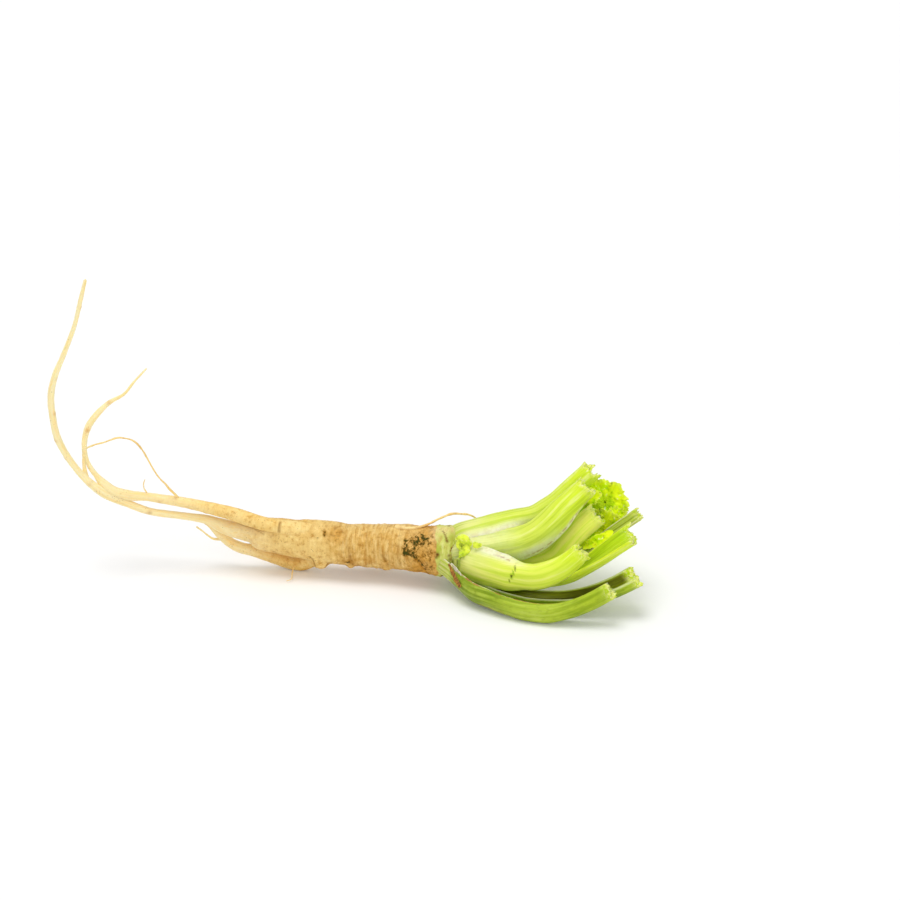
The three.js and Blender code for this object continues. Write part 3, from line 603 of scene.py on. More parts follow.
# dirt held in the skin: x, degrees, spread in mm, strength
TRUNK_DIRT = [
    (-11.5, 48, 0.6, 1.05), (-11.4, 58, 0.6, 1.05), (-11.7, 69, 0.8, 1.15), (-11.6, 79, 0.9, 1.2),
    (-10.7, 76, 0.9, 1.2), (-9.8, 80, 0.9, 1.15), (-9, 86, 0.8, 1.1), (-8.1, 96, 0.6, 1.2),
    (-7.3, 107, 0.5, 1.25), (-6.5, 120, 0.5, 1.25), (-5.8, 134, 0.5, 1.2), (-9.9, 46, 0.9, 0.95),
    (-9.2, 55, 0.9, 0.95), (-8.5, 38, 0.8, 1), (-8.4, 48, 0.9, 1), (-7.6, 55, 0.8, 0.95),
    (-7.1, 38, 0.9, 1.05), (-6.7, 47, 0.8, 1), (-6, 42, 0.8, 0.9), (-5.4, 52, 0.8, 0.75),
    (-4.7, 34, 0.7, 0.75), (-7.6, 30, 1, 0.7), (-9.2, 66, 1.4, 0.6), (-5.8, 80, 2.2, 0.42),
    (-5.4, 110, 2, 0.38), (-1.6, 148, 0.8, 1.2), (-0.6, 152, 0.9, 1.2), (-32.8, 37, 0.6, 0.62),
    (-33, 46, 0.4, 0.55), (-34.7, 57, 0.3, 0.6), (-26.8, 124, 0.9, 0.62), (-17, 111, 0.8, 0.5),
    (0.9, 46, 0.35, 0.9), (0.5, 54, 0.4, 0.85), (1.6, 76, 0.5, 0.85), (1.8, 88, 0.5, 0.9),
    (1.6, 100, 0.5, 0.85),
]


def blotches_on(skin, turn, radius, blotches):
    """The strength of soft round patches, each (x, degrees, spread, strength)."""
    total = np.zeros(turn.shape)
    for x, degrees, spread, strength in blotches:
        far = np.hypot(skin[..., 0] - x, (turn - radians(degrees)) * radius)
        total = np.maximum(total, strength * np.exp(-((far / spread) ** 2)))
    return total


def knots_on(skin):
    """1 at the middle of a knot, fading to 0 around it."""
    total = np.zeros(skin.shape[:-1])
    for place in KNOTS:
        far = np.linalg.norm(skin - place, axis=-1)
        total = np.maximum(total, np.exp(-((far / KNOT_SPREAD) ** 2)))
    return total


def trunk_shape(skin, turn, radius, flat):
    """The taproot's skin: wrinkled, ringed, furrowed at its tail, with knobs, cracks, dirt and the collar,
    and painted shade in its wrinkle troughs, under its knobs and where the side roots touch it.
    """
    x = skin[..., 0]
    trunk, crown, parting = (smoothstep(x, *span) for span in (TAIL_TO_TRUNK, TRUNK_TO_CROWN, PARTING))
    rise = (0.05 + 0.2 * trunk) * fractal(flat * 0.17, 5, 2)
    wrinkles = fractal(flat * (0.16, 0.16, 1.3), 11, 3)
    ringed = smoothstep(x, *RINGS_START) * (1 - smoothstep(x, *RINGS_END))
    rise += (0.02 + trunk * (0.035 + 0.05 * ringed)) * wrinkles
    rise += 0.07 * (1 - trunk) * fractal(flat * (1.1, 1.1, 0.08), 17, 2) * np.minimum(radius, 1)
    rise += 0.05 * trunk * fractal(flat * (0.5, 0.5, 0.1), 19, 2)
    rise += 0.14 * crown * fractal(flat * (0.25, 0.25, 1.9), 23, 3)
    rise += 0.03 * value_noise(flat * 2.6, 29)
    top_x, top_turn, top_height = COLLAR_TOP
    rise += top_height * np.exp(-(((x - top_x) / 1.3) ** 2) - ((turn - top_turn) / 0.6) ** 2)
    # painted shade: darker in the troughs of the wrinkles
    root_crease_shade_and_cracks = smoothstep(-wrinkles, 0.55, 1.2) * (0.1 + 0.35 * ringed) * trunk
    for place, height, spread in KNOBS:
        far = np.linalg.norm(skin - place, axis=-1)
        rise += height * np.exp(-((far / spread) ** 4))
        # painted shade round the lower side of each knob
        under = 0.75 * smoothstep(place[2] - skin[..., 2], -0.6, 1.6) * (skin[..., 1] < 2)
        root_crease_shade_and_cracks = np.maximum(root_crease_shade_and_cracks, under * np.exp(-(((far - spread * 1.35) / 0.35) ** 2)))
    depth, dark = marks_on(skin, turn, radius, TRUNK_MARKS)
    rise -= depth
    joined = np.maximum(parting, smoothstep(-x, *REJOINING))
    for way in (SIDE_ROOT_LONG, SIDE_ROOT_LOW):
        rise += (0.5 * parting + 0.3 * smoothstep(-x, 84, 88)) * closeness(skin, way, 3.0)
        # painted shade where a side root touches the taproot
        root_crease_shade_and_cracks = np.maximum(root_crease_shade_and_cracks, (0.9 - 0.85 * joined) * closeness(skin, way, 0.8))
    knots = knots_on(skin)
    rise += KNOT_HEIGHT * knots
    tone = blotches_on(skin, turn, radius, TRUNK_BLOTCHES)
    tone = np.maximum(tone, 0.85 * smoothstep(x, -15, -8) * (1 - smoothstep(x, -4, -1.5)))
    tone = np.maximum(tone, 0.3 * smoothstep(x, -36, -26))
    pale = 0.85 * (1 - smoothstep(x, -64, -41)) + 0.15 * (1 - smoothstep(x, *TIP))
    return rise, {
        "root_crease_shade_and_cracks": np.maximum(root_crease_shade_and_cracks, dark),
        "dirt": blotches_on(skin, turn, radius, TRUNK_DIRT),
        "tone": np.maximum(tone, KNOT_TONE * knots),
        "collar": smoothstep(x + 0.6 * value_noise(flat * 0.5, 37), *COLLAR_EDGE),
        "pale": pale + blotches_on(skin, turn, radius, COLLAR_PALE),
        "rust": blotches_on(skin, turn, radius, COLLAR_SPOTS),
        "ringed": 0.12 + 0.5 * ringed,
    }


def side_shape(marks, seed, fade):
    """The skin of a side root, with painted shade in its wrinkle troughs and where it meets the taproot. It
    pales between the first two numbers of fade, to the third."""

    def shape(skin, turn, radius, flat):
        x = skin[..., 0]
        size = np.minimum(radius, 1.2)
        rise = size * 0.07 * fractal(flat * 0.35, 41 + seed, 2)
        wrinkles = fractal(flat * (0.4, 0.4, 1.6), 43 + seed, 2)
        rise = rise + size * 0.035 * wrinkles
        rise = rise + size * 0.05 * fractal(flat * (1.2, 1.2, 0.12), 47 + seed, 2)
        root_crease_shade_and_cracks = 0.25 * smoothstep(-wrinkles, 0.7, 1.2)
        depth, dark = marks_on(skin, turn, radius, marks)
        rise = rise - depth
        joined = np.maximum(smoothstep(x, *PARTING), smoothstep(-x, *REJOINING))
        knots = knots_on(skin)
        rise = rise + KNOT_HEIGHT * knots
        rise = rise + 0.3 * joined * closeness(skin, TAPROOT, 1.6)
        # painted shade where it touches the taproot
        root_crease_shade_and_cracks = np.maximum(root_crease_shade_and_cracks, (0.9 - 0.85 * joined) * closeness(skin, TAPROOT, 0.6))
        start, end, strength = fade
        zero = np.zeros(x.shape)
        return rise, dict.fromkeys(("dirt", "collar", "rust"), zero) | {
            "root_crease_shade_and_cracks": np.maximum(root_crease_shade_and_cracks, dark),
            "tone": KNOT_TONE * knots,
            "pale": strength * (1 - smoothstep(x, start, end)) + 0.2 * (1 - smoothstep(x, *TIP)),
            "ringed": zero + 0.15,
        }

    return shape


def hair_shape(seed):
    """A hair root: knotty, and never quite straight."""

    def shape(skin, turn, radius, flat):
        x = skin[..., 0]
        rise = radius * 0.22 * fractal(flat * (0.6, 0.6, 0.9), 61 + seed, 2)
        tone = 0.1 + 0.25 * value_noise(flat * (0.1, 0.1, 0.4), 67 + seed)
        tip = 0.9 * smoothstep(-x, 93.0, 95.5) + 0.8 * smoothstep(-x, 59, 62) * (skin[..., 2] < 16)
        pale = np.minimum(tip, 1)
        same = dict.fromkeys(("root_crease_shade_and_cracks", "dirt", "collar", "rust", "ringed"), np.zeros(x.shape))
        return rise, same | {"tone": tone * (1 - pale), "pale": pale}

    return shape


def wander(way, amount, seed, slimness=0.7, spacing=1.6):
    """The way points of a hair root with points between them, moved a little to the sides."""
    path = Path(way)
    count = max(4, int(path.length / spacing))
    lengths = np.linspace(0, path.length, count)
    radius = slimness * path.radius_at(lengths)
    places = path.at(lengths)
    fade = np.minimum(1, np.minimum(lengths, path.length - lengths) / 3)[:, None]
    steps = np.stack([value_noise(places * 0.3 + 9 * k, seed + k) for k in range(3)], -1)
    places = places + amount * fade * steps
    places[:, 2] = np.maximum(places[:, 2], radius * 0.8)
    return np.column_stack([places, radius])


# ---------------------------------------------------------------- leaf stalks
def shell(outer, inner, attributes_at, cap_rows, roughness):
    """The points, faces and attributes of a thick curved wall between two grids of points, which share their
    first and last columns, with a rough face at its far end. attributes_at has each attribute's values on the
    outer grid, on the inner one and on the end face."""
    rings, columns = outer.shape[:2]
    loop = 2 * columns - 2
    points = np.concatenate([outer, inner[:, -2:0:-1]], axis=1).reshape(-1, 3)
    faces = grid_faces(rings, loop)
    first = (rings - 1) * loop
    outer_row = first + np.arange(columns)
    inner_row = np.concatenate([[first], first + loop - 1 - np.arange(columns - 2), [first + columns - 1]])
    forward = unit(outer[-1] - outer[-2] + inner[-1] - inner[-2])
    rows = [outer_row]
    extra = []
    for j in range(1, cap_rows):
        share = j / cap_rows
        row = outer[-1] * (1 - share) + inner[-1] * share
        sink = np.sin(pi * share) ** 0.5
        row = row + forward * (sink * (roughness * (fractal(row * 1.6, 83, 3) - 0.5)))[:, None]
        index = len(points) + (j - 1) * (columns - 2) + np.arange(columns - 2)
        rows.append(np.concatenate([[outer_row[0]], index, [outer_row[-1]]]))
        extra.append(row[1:-1])
    rows.append(inner_row)
    for low, high in zip(rows, rows[1:]):
        for k in range(columns - 1):
            corners = [int(low[k]), int(low[k + 1]), int(high[k + 1]), int(high[k])]
            faces.append(tuple(dict.fromkeys(corners)))
    faces.append(tuple(range(loop)))
    count = len(points)
    points = np.vstack([points, *extra])
    attributes = {}
    for key, (on_outer, on_inner, on_cut) in attributes_at.items():
        values = np.concatenate([on_outer, on_inner[:, -2:0:-1]], axis=1)
        if values.ndim == 3:  # the grain coordinate, which is the place itself on the end face
            attributes[key] = np.concatenate([values.reshape(count, 3), points[count:]])
        else:
            attributes[key] = np.concatenate([values.ravel(), np.full(len(points) - count, float(on_cut))])
    return points, faces, attributes


def merged(shells):
    """Several shells as one mesh."""
    points, faces, attributes = [], [], {}
    count = 0
    for some_points, some_faces, some_attributes in shells:
        faces += [tuple(corner + count for corner in face) for face in some_faces]
        points.append(some_points)
        for key, values in some_attributes.items():
            attributes.setdefault(key, []).append(values)
        count += len(some_points)
    return np.vstack(points), faces, {key: np.concatenate(values) for key, values in attributes.items()}


RINGS_PER_MM = 3.2
COLUMNS = 64
CUT_ROWS, CUT_ROUGHNESS = 9, 0.8  # of the torn end face
TEAR = 0.8  # mm by which the strips of the wall end at different lengths
FRAYED = (3.5, 0.5)  # mm from the cut between which the wall frays
CUT_RING = (4.4, 1.8)  # mm from the cut between which the channel turns to pith
# What a stalk has unless it says otherwise. notch and slant shape its cut, taper thins its wall towards the
# margins, and edge pales them. inner and grey are amounts of those colours; deep is an amount of painted
# shade inside the channel, and light an amount of painted light. open clears deep towards the cut, fresh is
# the least share of the fresh green, and ring is the pith inside the cut. shade is (share of the length,
# strength) of painted shade. pale and rusty are bands, and lit is bands of painted light. The bruise spots
# are partly a real bruise and partly painted shade in a crease, and the green spots are painted shade.
STALK_DEFAULTS = {
    "notch": 0, "slant": 0, "taper": 0.62, "edge": 0.8, "inner": 0.8, "deep": 0, "open": 0, "grey": 0,
    "light": 0, "fresh": 0, "ring": 0, "shade": [(0, 0)],
} | dict.fromkeys(("pale", "rusty", "lit", "lines", "bruising_and_crease_shade_spots", "painted_shade_spots"), ())
# backs is where the wall's back faces at the base and at the cut. sections is (share of the length, radius,
# degrees that the wall wraps to each side, half its thickness).
STALKS = [
    {
        "name": "stalk_heart",
        "way": [
            (6.9, -6.5, 9.7), (14.6, -7.8, 7.9), (22.2, -9, 7.6), (27.1, -9.5, 10), (30.1, -9.2, 13.6),
            (33.9, -8.2, 17.7), (38.4, -7, 21.5),
        ],
        "backs": ((0, -1, 0.1), (-0.25, -0.75, 0.62)),
        # light is painted light, against the shade of the stalks above it
        "sections": [(0, 3, 60, 0.8), (0.6, 2.9, 66, 0.85), (1, 2.8, 84, 1)], "deep": 0.3, "light": 0.9,
        "fresh": 0.7,
    },
    {
        "name": "stalk_inner_back",
        "way": [(6.5, -4.2, 9.6), (14, -2.2, 10), (21, 0.4, 12), (27, 2.4, 14.8), (31.5, 3.6, 17.8)],
        "backs": ((0, 0.9, 0.1), (-0.2, 0.9, -0.3)), "sections": [(0, 2.6, 70, 0.8), (0.6, 1.7, 95, 0.75)],
        "deep": 0.4,
    },
    {
        "name": "stalk_thin",
        "way": [
            (8, -5.2, 6.6), (20, -5.4, 5.6), (30.7, -6.2, 6.9), (36, -8.2, 11.1), (40.3, -9.2, 15.1),
            (43.6, -9, 17.5), (46.7, -8.6, 19.6), (49.7, -8, 21.7),
        ],
        "backs": ((0, 0.3, -0.9), (0.3, 0.5, -0.75)),
        "sections": [(0, 1.2, 80, 0.5), (0.6, 1.3, 84, 0.5), (1, 1.7, 76, 0.55)], "inner": 0.3, "grey": 1,
    },
    {
        "name": "stalk_channel",
        "way": [
            (5.7, -9.5, 7.2), (9.5, -11.5, 6.6), (16.3, -14, 5.9), (25.8, -16.5, 6.2), (31.4, -17.3, 8.2),
            (37.2, -17.5, 11.9), (42.2, -17, 15.6), (48.1, -16.2, 19.6),
        ],
        "backs": ((0, -0.5, -0.86), (0.45, 0.3, -0.8)),
        "sections": [(0, 3.4, 62, 0.8), (0.6, 3, 80, 0.9), (1, 3.3, 74, 1.1)], "inner": 1, "deep": 0.3,
        # the lit band is painted light on its outer wall
        "open": 1, "lit": [(1, 0.3, 1, 0.6, 0.1)], "fresh": 1, "slant": 0.7, "edge": 0, "taper": 0.84,
        "ring": 0.4,
    },
    {
        "name": "stalk_upper_front",
        "way": [
            (0.8, -9, 11.7), (3.6, -9.8, 12.5), (6.6, -10.1, 12.9), (9.8, -10.3, 13.2), (13.4, -10.6, 13.9),
            (18.2, -10.8, 15), (22.4, -10.8, 17.1), (26.5, -10, 20.6), (29.9, -8.8, 24.1), (35.8, -7, 29.6),
        ],
        "backs": ((-0.3, -0.6, 0.7), (-0.4, -0.75, 0.5)),
        "sections": [
            (0, 3.6, 62, 0.8), (0.2, 4, 62, 0.8), (0.42, 4.8, 70, 0.8), (0.6, 3.9, 82, 0.8),
            (1, 2.1, 100, 1.15),
        ],
        "pale": [(-1, 0.34, 0.86, 0.24, 0.95), (-1, 0.38, 0.6, 0.4, 0.95), (1, 0, 0.4, 1.2, 0.3)],
        "lines": [(-1, 0.4, 1, 0.78, 0.035, 0.55)], "notch": 1,
    },
    {
        "name": "stalk_top",
        "way": [
            (0.6, -5.8, 13.6), (2.6, -5.4, 14.9), (6, -4.8, 15.9), (11.5, -3.6, 16.9), (16.5, -2, 17.6),
            (22.2, -0.6, 18.4), (27, 0.6, 21), (31.2, 1.7, 24.5), (37.9, 3.1, 30.4),
        ],
        "backs": ((-0.25, -0.3, 0.92), (-0.62, -0.3, 0.72)),
        "sections": [(0, 4.8, 66, 0.8), (0.25, 4.6, 64, 0.8), (0.55, 3, 80, 0.8), (1, 2.5, 92, 1.35)],
        "pale": [(-1, 0.02, 0.22, 0.5, 0.75), (-1, 0.02, 0.46, 0.46, 0.95), (1, 0, 0.16, 0.4, 0.5)],
        "notch": 1.4,
    },
    {
        "name": "stalk_back",
        "way": [
            (2, -1.6, 10.6), (8, 3, 10.6), (16, 7.2, 11), (24, 10, 12.8), (30, 11.4, 15.8), (34, 12.2, 19),
        ],
        "backs": ((-0.3, 0.9, 0.2), (-0.2, 0.95, 0.2)), "sections": [(0, 4.6, 62, 0.8), (0.7, 2, 95, 0.85)],
    },
    {
        "name": "stalk_low",
        "way": [
            (1.6, -6.8, 4.3), (5.4, -10, 3.8), (8.8, -13, 3.4), (14.4, -17, 2.8), (20, -20, 2.7),
            (25.6, -22, 3.2), (31.2, -23, 3.9), (36.8, -23.3, 5.2), (42.6, -23.2, 7.3), (48.3, -22.8, 10.4),
        ],
        "backs": ((-0.2, -0.3, -0.93), (0.3, 0.25, -0.92)),
        # deep is painted shade inside its channel, and shade painted shade along it
        "sections": [(0, 4.2, 60, 0.85), (0.6, 2.6, 86, 0.8), (1, 2.7, 88, 1.35)], "inner": 0.6, "deep": 1,
        "ring": 0.9, "shade": [(0, 1)],
    },
    {
        "name": "stalk_back_low",
        "way": [
            (1.4, -2, 6.2), (6, 2.4, 3.8), (12, 6.4, 2), (20, 10, 1.4), (28, 12.8, 1.7), (37, 15.4, 3.5),
            (43, 16.8, 6.2),
        ],
        "backs": ((-0.2, 0.5, -0.85), (0.1, 0.35, -0.93)),
        "sections": [(0, 4.2, 60, 0.85), (0.6, 1.9, 95, 0.85)],
    },
    {
        "name": "stalk_front",
        "way": [
            (2.6, -9.6, 8.2), (5, -12, 8.4), (8, -14.7, 8.7), (11, -17.2, 9), (16.1, -21, 9.4),
            (21.7, -23.6, 10), (25.4, -24.2, 11.3), (29.1, -24.2, 13.4), (34.4, -23.5, 17.9),
        ],
        "backs": ((-0.4, -0.85, 0.12), (0.35, -0.9, -0.3)),
        "sections": [
            (0, 5.6, 74, 0.95), (0.2, 5.5, 76, 0.95), (0.36, 4.9, 80, 0.95), (0.55, 3.3, 86, 0.95),
            (1, 2.1, 104, 1.1),
        ],
        "pale": [(1, 0.14, 0.48, 0.32, 0.9)], "lines": [(1, 0.26, 0.5, 0.74, 0.03, 0.6)],
        # the lit bands are painted light on its shaded underside and near margin
        "lit": [(-1, 0, 0.5, 1, 0.6), (1, 0.3, 0.8, 1.3, 0.3)],
        # the green spots are painted shade under the crown bud
        "painted_shade_spots": [
            ((4.7, -13, 13.6), (0.6, 3, 0.9), 0.6), ((4.1, -13.2, 12.9), (0.6, 3, 0.9), 0.7),
            ((3.4, -12.9, 11.9), (0.5, 3, 0.9), 0.7), ((2.6, -12.8, 11), (0.4, 3, 0.9), 0.7),
            ((2.4, -13, 9.6), (0.35, 3, 1.2), 0.7),
        ],
        # the first three bruise spots are painted shade along the crease at the left of the base; the rest
        # are a real bruise
        "bruising_and_crease_shade_spots": [
            ((1.9, -12.6, 11.2), (0.35, 3, 1.2), 0.6), ((1.9, -13, 9.4), (0.3, 3, 1.3), 0.8),
            ((2.2, -13.4, 7.9), (0.3, 3, 1.2), 0.6), ((16.6, -22.6, 12.5), (0.25, 3, 0.9), 0.8),
            ((16.1, -22.8, 11.5), (0.3, 3, 0.8), 0.9), ((15.7, -22.8, 10.5), (0.35, 3, 0.9), 0.95),
            ((15.2, -22.6, 9.4), (0.2, 3, 0.8), 0.85),
        ],
    },
    {
        "name": "stalk_low_front",
        "way": [
            (-1.8, -9, 6.4), (1, -12, 5.2), (3.4, -15, 4.2), (6.2, -18.2, 3.3), (9.8, -21.4, 3),
            (14.4, -24.6, 2.5), (19.8, -27.2, 2.1), (25.3, -28.8, 2.4), (30.8, -29.5, 3.9), (36, -29.7, 6.3),
            (41.4, -29.7, 9.7),
        ],
        "backs": ((-0.35, -0.66, -0.7), (0.1, -0.93, -0.35)),
        "sections": [
            (0, 4.6, 64, 0.6), (0.1, 4.2, 64, 0.8), (0.24, 3.5, 78, 0.8), (0.42, 2.5, 96, 0.8),
            (1, 1.85, 100, 0.95),
        ],
        "shade": [(0, 0), (0.06, 0.2), (0.14, 1), (0.34, 1), (0.5, 0.7), (0.8, 0.8), (1, 0.75)],
        "rusty": [(1, 0.1, 0.9, 0.07, 0.8)],
        "lines": [(1, 0.22, 0.5, -0.06, 0.07, 0.7), (1, 0.34, 0.48, 0.06, 0.06, 0.6)],
    },
]


EASE = 0.12  # share of the length over which bands and lines fade at their ends


def margin_bands(bands, s, t):
    """Bands along a margin, each (side, from, to, width, strength): from and to are shares of the length."""
    total = np.zeros(np.broadcast_shapes(s.shape, t.shape))
    for side, start, end, width, strength in bands:
        lengthwise = smoothstep(t, start - EASE, start + EASE) * (1 - smoothstep(t, end - EASE, end + EASE))
        crosswise = smoothstep(side * s, 1 - 1.6 * width, 1 - 0.7 * width)
        total = np.maximum(total, strength * lengthwise * crosswise)
    return total


def seam_lines(lines, s, t):
    """Thin lines along the wall, each (side, from, to, place across, width, strength)."""
    total = np.zeros(np.broadcast_shapes(s.shape, t.shape))
    for side, start, end, place, width, strength in lines:
        lengthwise = smoothstep(t, start, start + EASE) * (1 - smoothstep(t, end - EASE, end + 0.05))
        total = np.maximum(total, strength * lengthwise * np.exp(-(((side * s - place) / width) ** 2)))
    return total


def spots_near(points, spots):
    """1 inside the spots, each (centre, spread, strength), fading to 0 at its rim."""
    total = np.zeros(points.shape[:-1])
    for centre, spread, strength in spots:
        far = np.linalg.norm((points - centre) / spread, axis=-1)
        total = np.maximum(total, strength * (1 - smoothstep(far, 0.5, 1.1)))
    return total


def make_stalk(spec, material, seed):
    """A cut leaf stalk: a wall bent round a channel, ribbed on its back, thin and pale at its margins, torn
    where it was cut."""
    spec = STALK_DEFAULTS | spec
    path = Path(spec["way"])
    rings = int(path.length * RINGS_PER_MM)
    even = np.linspace(1, -1, COLUMNS)
    across_share = 0.6 * np.sin(even * pi / 2) + 0.4 * even  # columns lie closer at the margins
    s = across_share[None, :]
    line = xyz(across_share * 3.1, 0, 0)
    torn = -TEAR * fractal(line * 2.2 + seed * 3.7, 91, 4) + spec["notch"] * across_share**2
    torn -= spec["slant"] * across_share
    torn -= torn.max()
    base_t = np.linspace(0, 1, rings)[:, None] ** 0.95
    bases, tips = unit(spec["backs"])
    sections = [[(q[0], q[k]) for q in spec["sections"]] for k in (1, 2, 3)]
    grids, sides = [], []
    for side in (1, -1):
        lengths = base_t * (path.length + torn + (side == 1) * 0.15 * value_noise(line * 6 + seed, 97))
        lengths = np.minimum(lengths, path.length)
        t = lengths / path.length
        radius, wrap, half = (eased(pairs, t) for pairs in sections)
        reach = np.radians(wrap)
        middle = (radius + half + np.minimum(1, np.cos(reach)) * radius) / 2
        place, tangent = path.at(lengths), path.tangents(lengths)
        out = bases + (tips - bases) * t[..., None]
        out = unit(out - tangent * np.sum(out * tangent, -1, keepdims=True))
        arc = s * reach * radius  # mm across the wall
        strip = xyz(arc, lengths * 0.04, seed * 5)
        frayed = smoothstep(lengths, *(path.length - gap for gap in FRAYED))
        ridges = fractal(strip * (0.9, 1, 1), 101, 2)
        relief = 0.075 * ridges + 0.03 * fractal(strip * (2.6, 2, 1), 103, 2)
        crumbs = fractal(xyz(arc * 0.9, lengths * 0.7, 0), 109 + seed, 3)
        relief = relief * (1.0 if side == 1 else 0.5) + 0.3 * frayed * crumbs
        wall = half * (1 - spec["taper"] * s**4) * np.sqrt(1 - np.abs(s) ** 22)
        dent = 0.18 * fractal(place * 0.16 + seed, 107, 2) * (1 - smoothstep(t, 0.7, 1))
        distance = radius + side * (wall + relief * (1 - s**8)) + dent
        x, y = distance * np.sin(s * reach), distance * np.cos(s * reach) - middle
        points = place + np.cross(out, tangent) * x[..., None] + out * y[..., None]
        grids.append(points)
        zero = 0 * t
        outside = (side == 1) + zero
        channel = (1 - outside) * (1 - smoothstep(np.abs(s), 0.9, 1.0))
        thin_edge = spec["edge"] * smoothstep(np.abs(s) + zero, 0.93, 1.0) * (1 - 0.5 * t)
        ring = spec["ring"] * (1 - outside) * smoothstep(lengths, *(path.length - gap for gap in CUT_RING))
        end = np.maximum(0.9 * smoothstep(base_t + 0 * s, 0.97, 1.0), 0.55 * frayed)
        sides.append(
            {
                "share": np.maximum(t, spec["fresh"]),
                "margin": np.maximum(thin_edge, margin_bands(spec["pale"], s, t)),
                "rust": np.maximum(margin_bands(spec["rusty"], s, t), seam_lines(spec["lines"], s, t)),
                "inner": spec["inner"] * channel,
                # painted shade inside the channel, cleared towards the cut by open
                "deep": spec["deep"] * channel * (1 - spec["open"] * smoothstep(t, 0.6, 0.95)),
                "shade": eased(spec["shade"], t),
                "grey": spec["grey"] + zero,
                # painted shade in the valleys between the ridges
                "rib": 0.3 * smoothstep(-ridges, 0.45, 0.8) * outside * (1 - 0.7 * smoothstep(t, 0.3, 0.8)),
                # a real bruise, and painted shade in a crease
                "bruising_and_crease_shade": spots_near(points, spec["bruising_and_crease_shade_spots"]),
                # painted shade under the crown bud
                "green": spots_near(points, spec["painted_shade_spots"]),
                # painted light on parts that lie in shade
                "light": np.maximum(spec["light"], margin_bands(spec["lit"], s, t)),
                "cut": np.maximum(ring, end),
                "grain": xyz(arc, seed * 7 + 3 * side, lengths),
            }
        )
    outer, inner = grids
    inner[:, 0], inner[:, -1] = outer[:, 0], outer[:, -1]
    attributes = {key: (sides[0][key], sides[1][key], key in ("share", "cut")) for key in sides[0]}
    name = spec["name"]
    torn_wall = shell(outer, inner, attributes, CUT_ROWS, CUT_ROUGHNESS)
    build(f"{name}_fine", name, "leaf_stalk", material, *torn_wall)


# ---------------------------------------------------------------- young leaf, buds and dry sheath
def make_blade(spec, seed, rings=110, columns=24):
    """A narrow blade along its way points, slightly ruffled and toothed at its margins. widths and thick are
    (share of the length, mm), and cup bends its margins forward by that many mm."""
    path = Path(spec["way"])
    t = np.linspace(0, 1, rings)[:, None]
    s = np.sin(np.linspace(1, -1, columns) * pi / 2)[None, :]
    lengths = t * path.length + 0 * s
    place, tangent = path.at(lengths), path.tangents(lengths)
    facing = unit(spec["facing"])
    out = unit(facing - tangent * (tangent @ facing)[..., None])
    across = np.cross(out, tangent)
    half = eased(spec["widths"], t) / 2
    teeth = fractal(xyz(lengths * 1.1, np.sign(s) * 4, seed), 111, 3)
    half = half * (1 + spec["teeth"] * teeth * np.abs(s))
    bend = spec["ruffle"] * fractal(xyz(lengths * 0.8, s * half * 0.8, 0), 117 + seed, 2) + spec["cup"] * s**2
    thick = eased(spec["thick"], t) / 2 * (1 - 0.5 * s**2) * np.sqrt(1 - np.abs(s) ** 16)
    middle = place + across * (s * half)[..., None] + out * bend[..., None]
    return closed_sheet(middle, out, thick, smoothstep(np.abs(s) + 0 * t, 0.8, 1.0), 0 * t * s)


def closed_sheet(middle, out, thick, margin, inner):
    """A sheet of the thickness given either side of its middle surface."""
    front, back = middle + out * thick[..., None], middle - out * thick[..., None]
    back[:, 0], back[:, -1] = front[:, 0], front[:, -1]
    attributes = {"margin": (margin, margin, 0.8), "inner": (inner, 0.5 * inner, 0)}
    return shell(front, back, attributes | {"grain": (middle, middle, 0)}, 2, 0.0)


def make_fan(spec, seed, rings=52, columns=150):
    """A crumpled blade that spreads like a fan from its base, lobed and toothed at its rim, and cupped. lobes
    has its reach in mm by degrees. dull paints shade over all of it, and hollow paints shade in its middle:
    strength, then from and to as shares of the reach. The rim gets a painted highlight, except where dull is
    set."""
    spec = {"painted_shade_all": 0, "hollow": (0, 0.5, 0.8)} | spec
    ahead, facing = unit(spec["ahead"]), unit(spec["facing"])
    facing = unit(facing - ahead * (ahead @ facing))
    across = np.cross(facing, ahead)
    first, last = spec["lobes"][0][0], spec["lobes"][-1][0]
    degrees = np.linspace(first, last, columns)[None, :]
    edges = np.minimum(1, np.minimum(degrees - first, last - degrees) / 12)
    r = np.linspace(0.04, 1, rings)[:, None]
    reach = eased(spec["lobes"], degrees)
    turn = np.radians(degrees)
    rim = xyz(turn * 4.2, 0, seed)
    teeth = 0.7 - 2.2 * np.abs(value_noise(rim * 2.2, 121)) + 0.4 * fractal(rim * 1.2, 122, 2)
    reach = reach * (1 + spec["teeth"] * teeth * r**3)
    turn = turn + 0.1 * r**2 * value_noise(rim * 2.2, 123)
    x, y = reach * r * np.sin(turn), reach * r * np.cos(turn)
    ruffle = spec["ruffle"] * r**1.4 * fractal(xyz(turn * 2.1, r * 0.9, seed) * 1.3, 127, 3)
    crumple = 0.35 * spec["ruffle"] * fractal(xyz(x * 0.5, y * 0.5, seed), 131, 3)
    height = spec["cup"] * r**2 + ruffle + crumple * r
    middle = spec["base"] + across * x[..., None] + ahead * y[..., None] + facing * height[..., None]
    along, around = np.gradient(middle, axis=0), np.gradient(middle, axis=1)
    out = unit(np.cross(around, along))
    thick = 0.5 * spec["thick"] * (1.3 - r) * np.sqrt(np.clip(edges, 0, 1)) + 0.04
    thick[:, [0, -1]] = 0
    # painted highlight along the rim
    margin = (1 - spec["painted_shade_all"]) * smoothstep(r + 0 * turn, 0.8, 1.0)
    depth, low, high = spec["hollow"]
    # painted shade, over all of it or in its hollow
    inner = np.maximum(spec["painted_shade_all"], depth * (1 - smoothstep(r + 0.06 * teeth, low, high)))
    return closed_sheet(middle, out, thick, margin, inner)


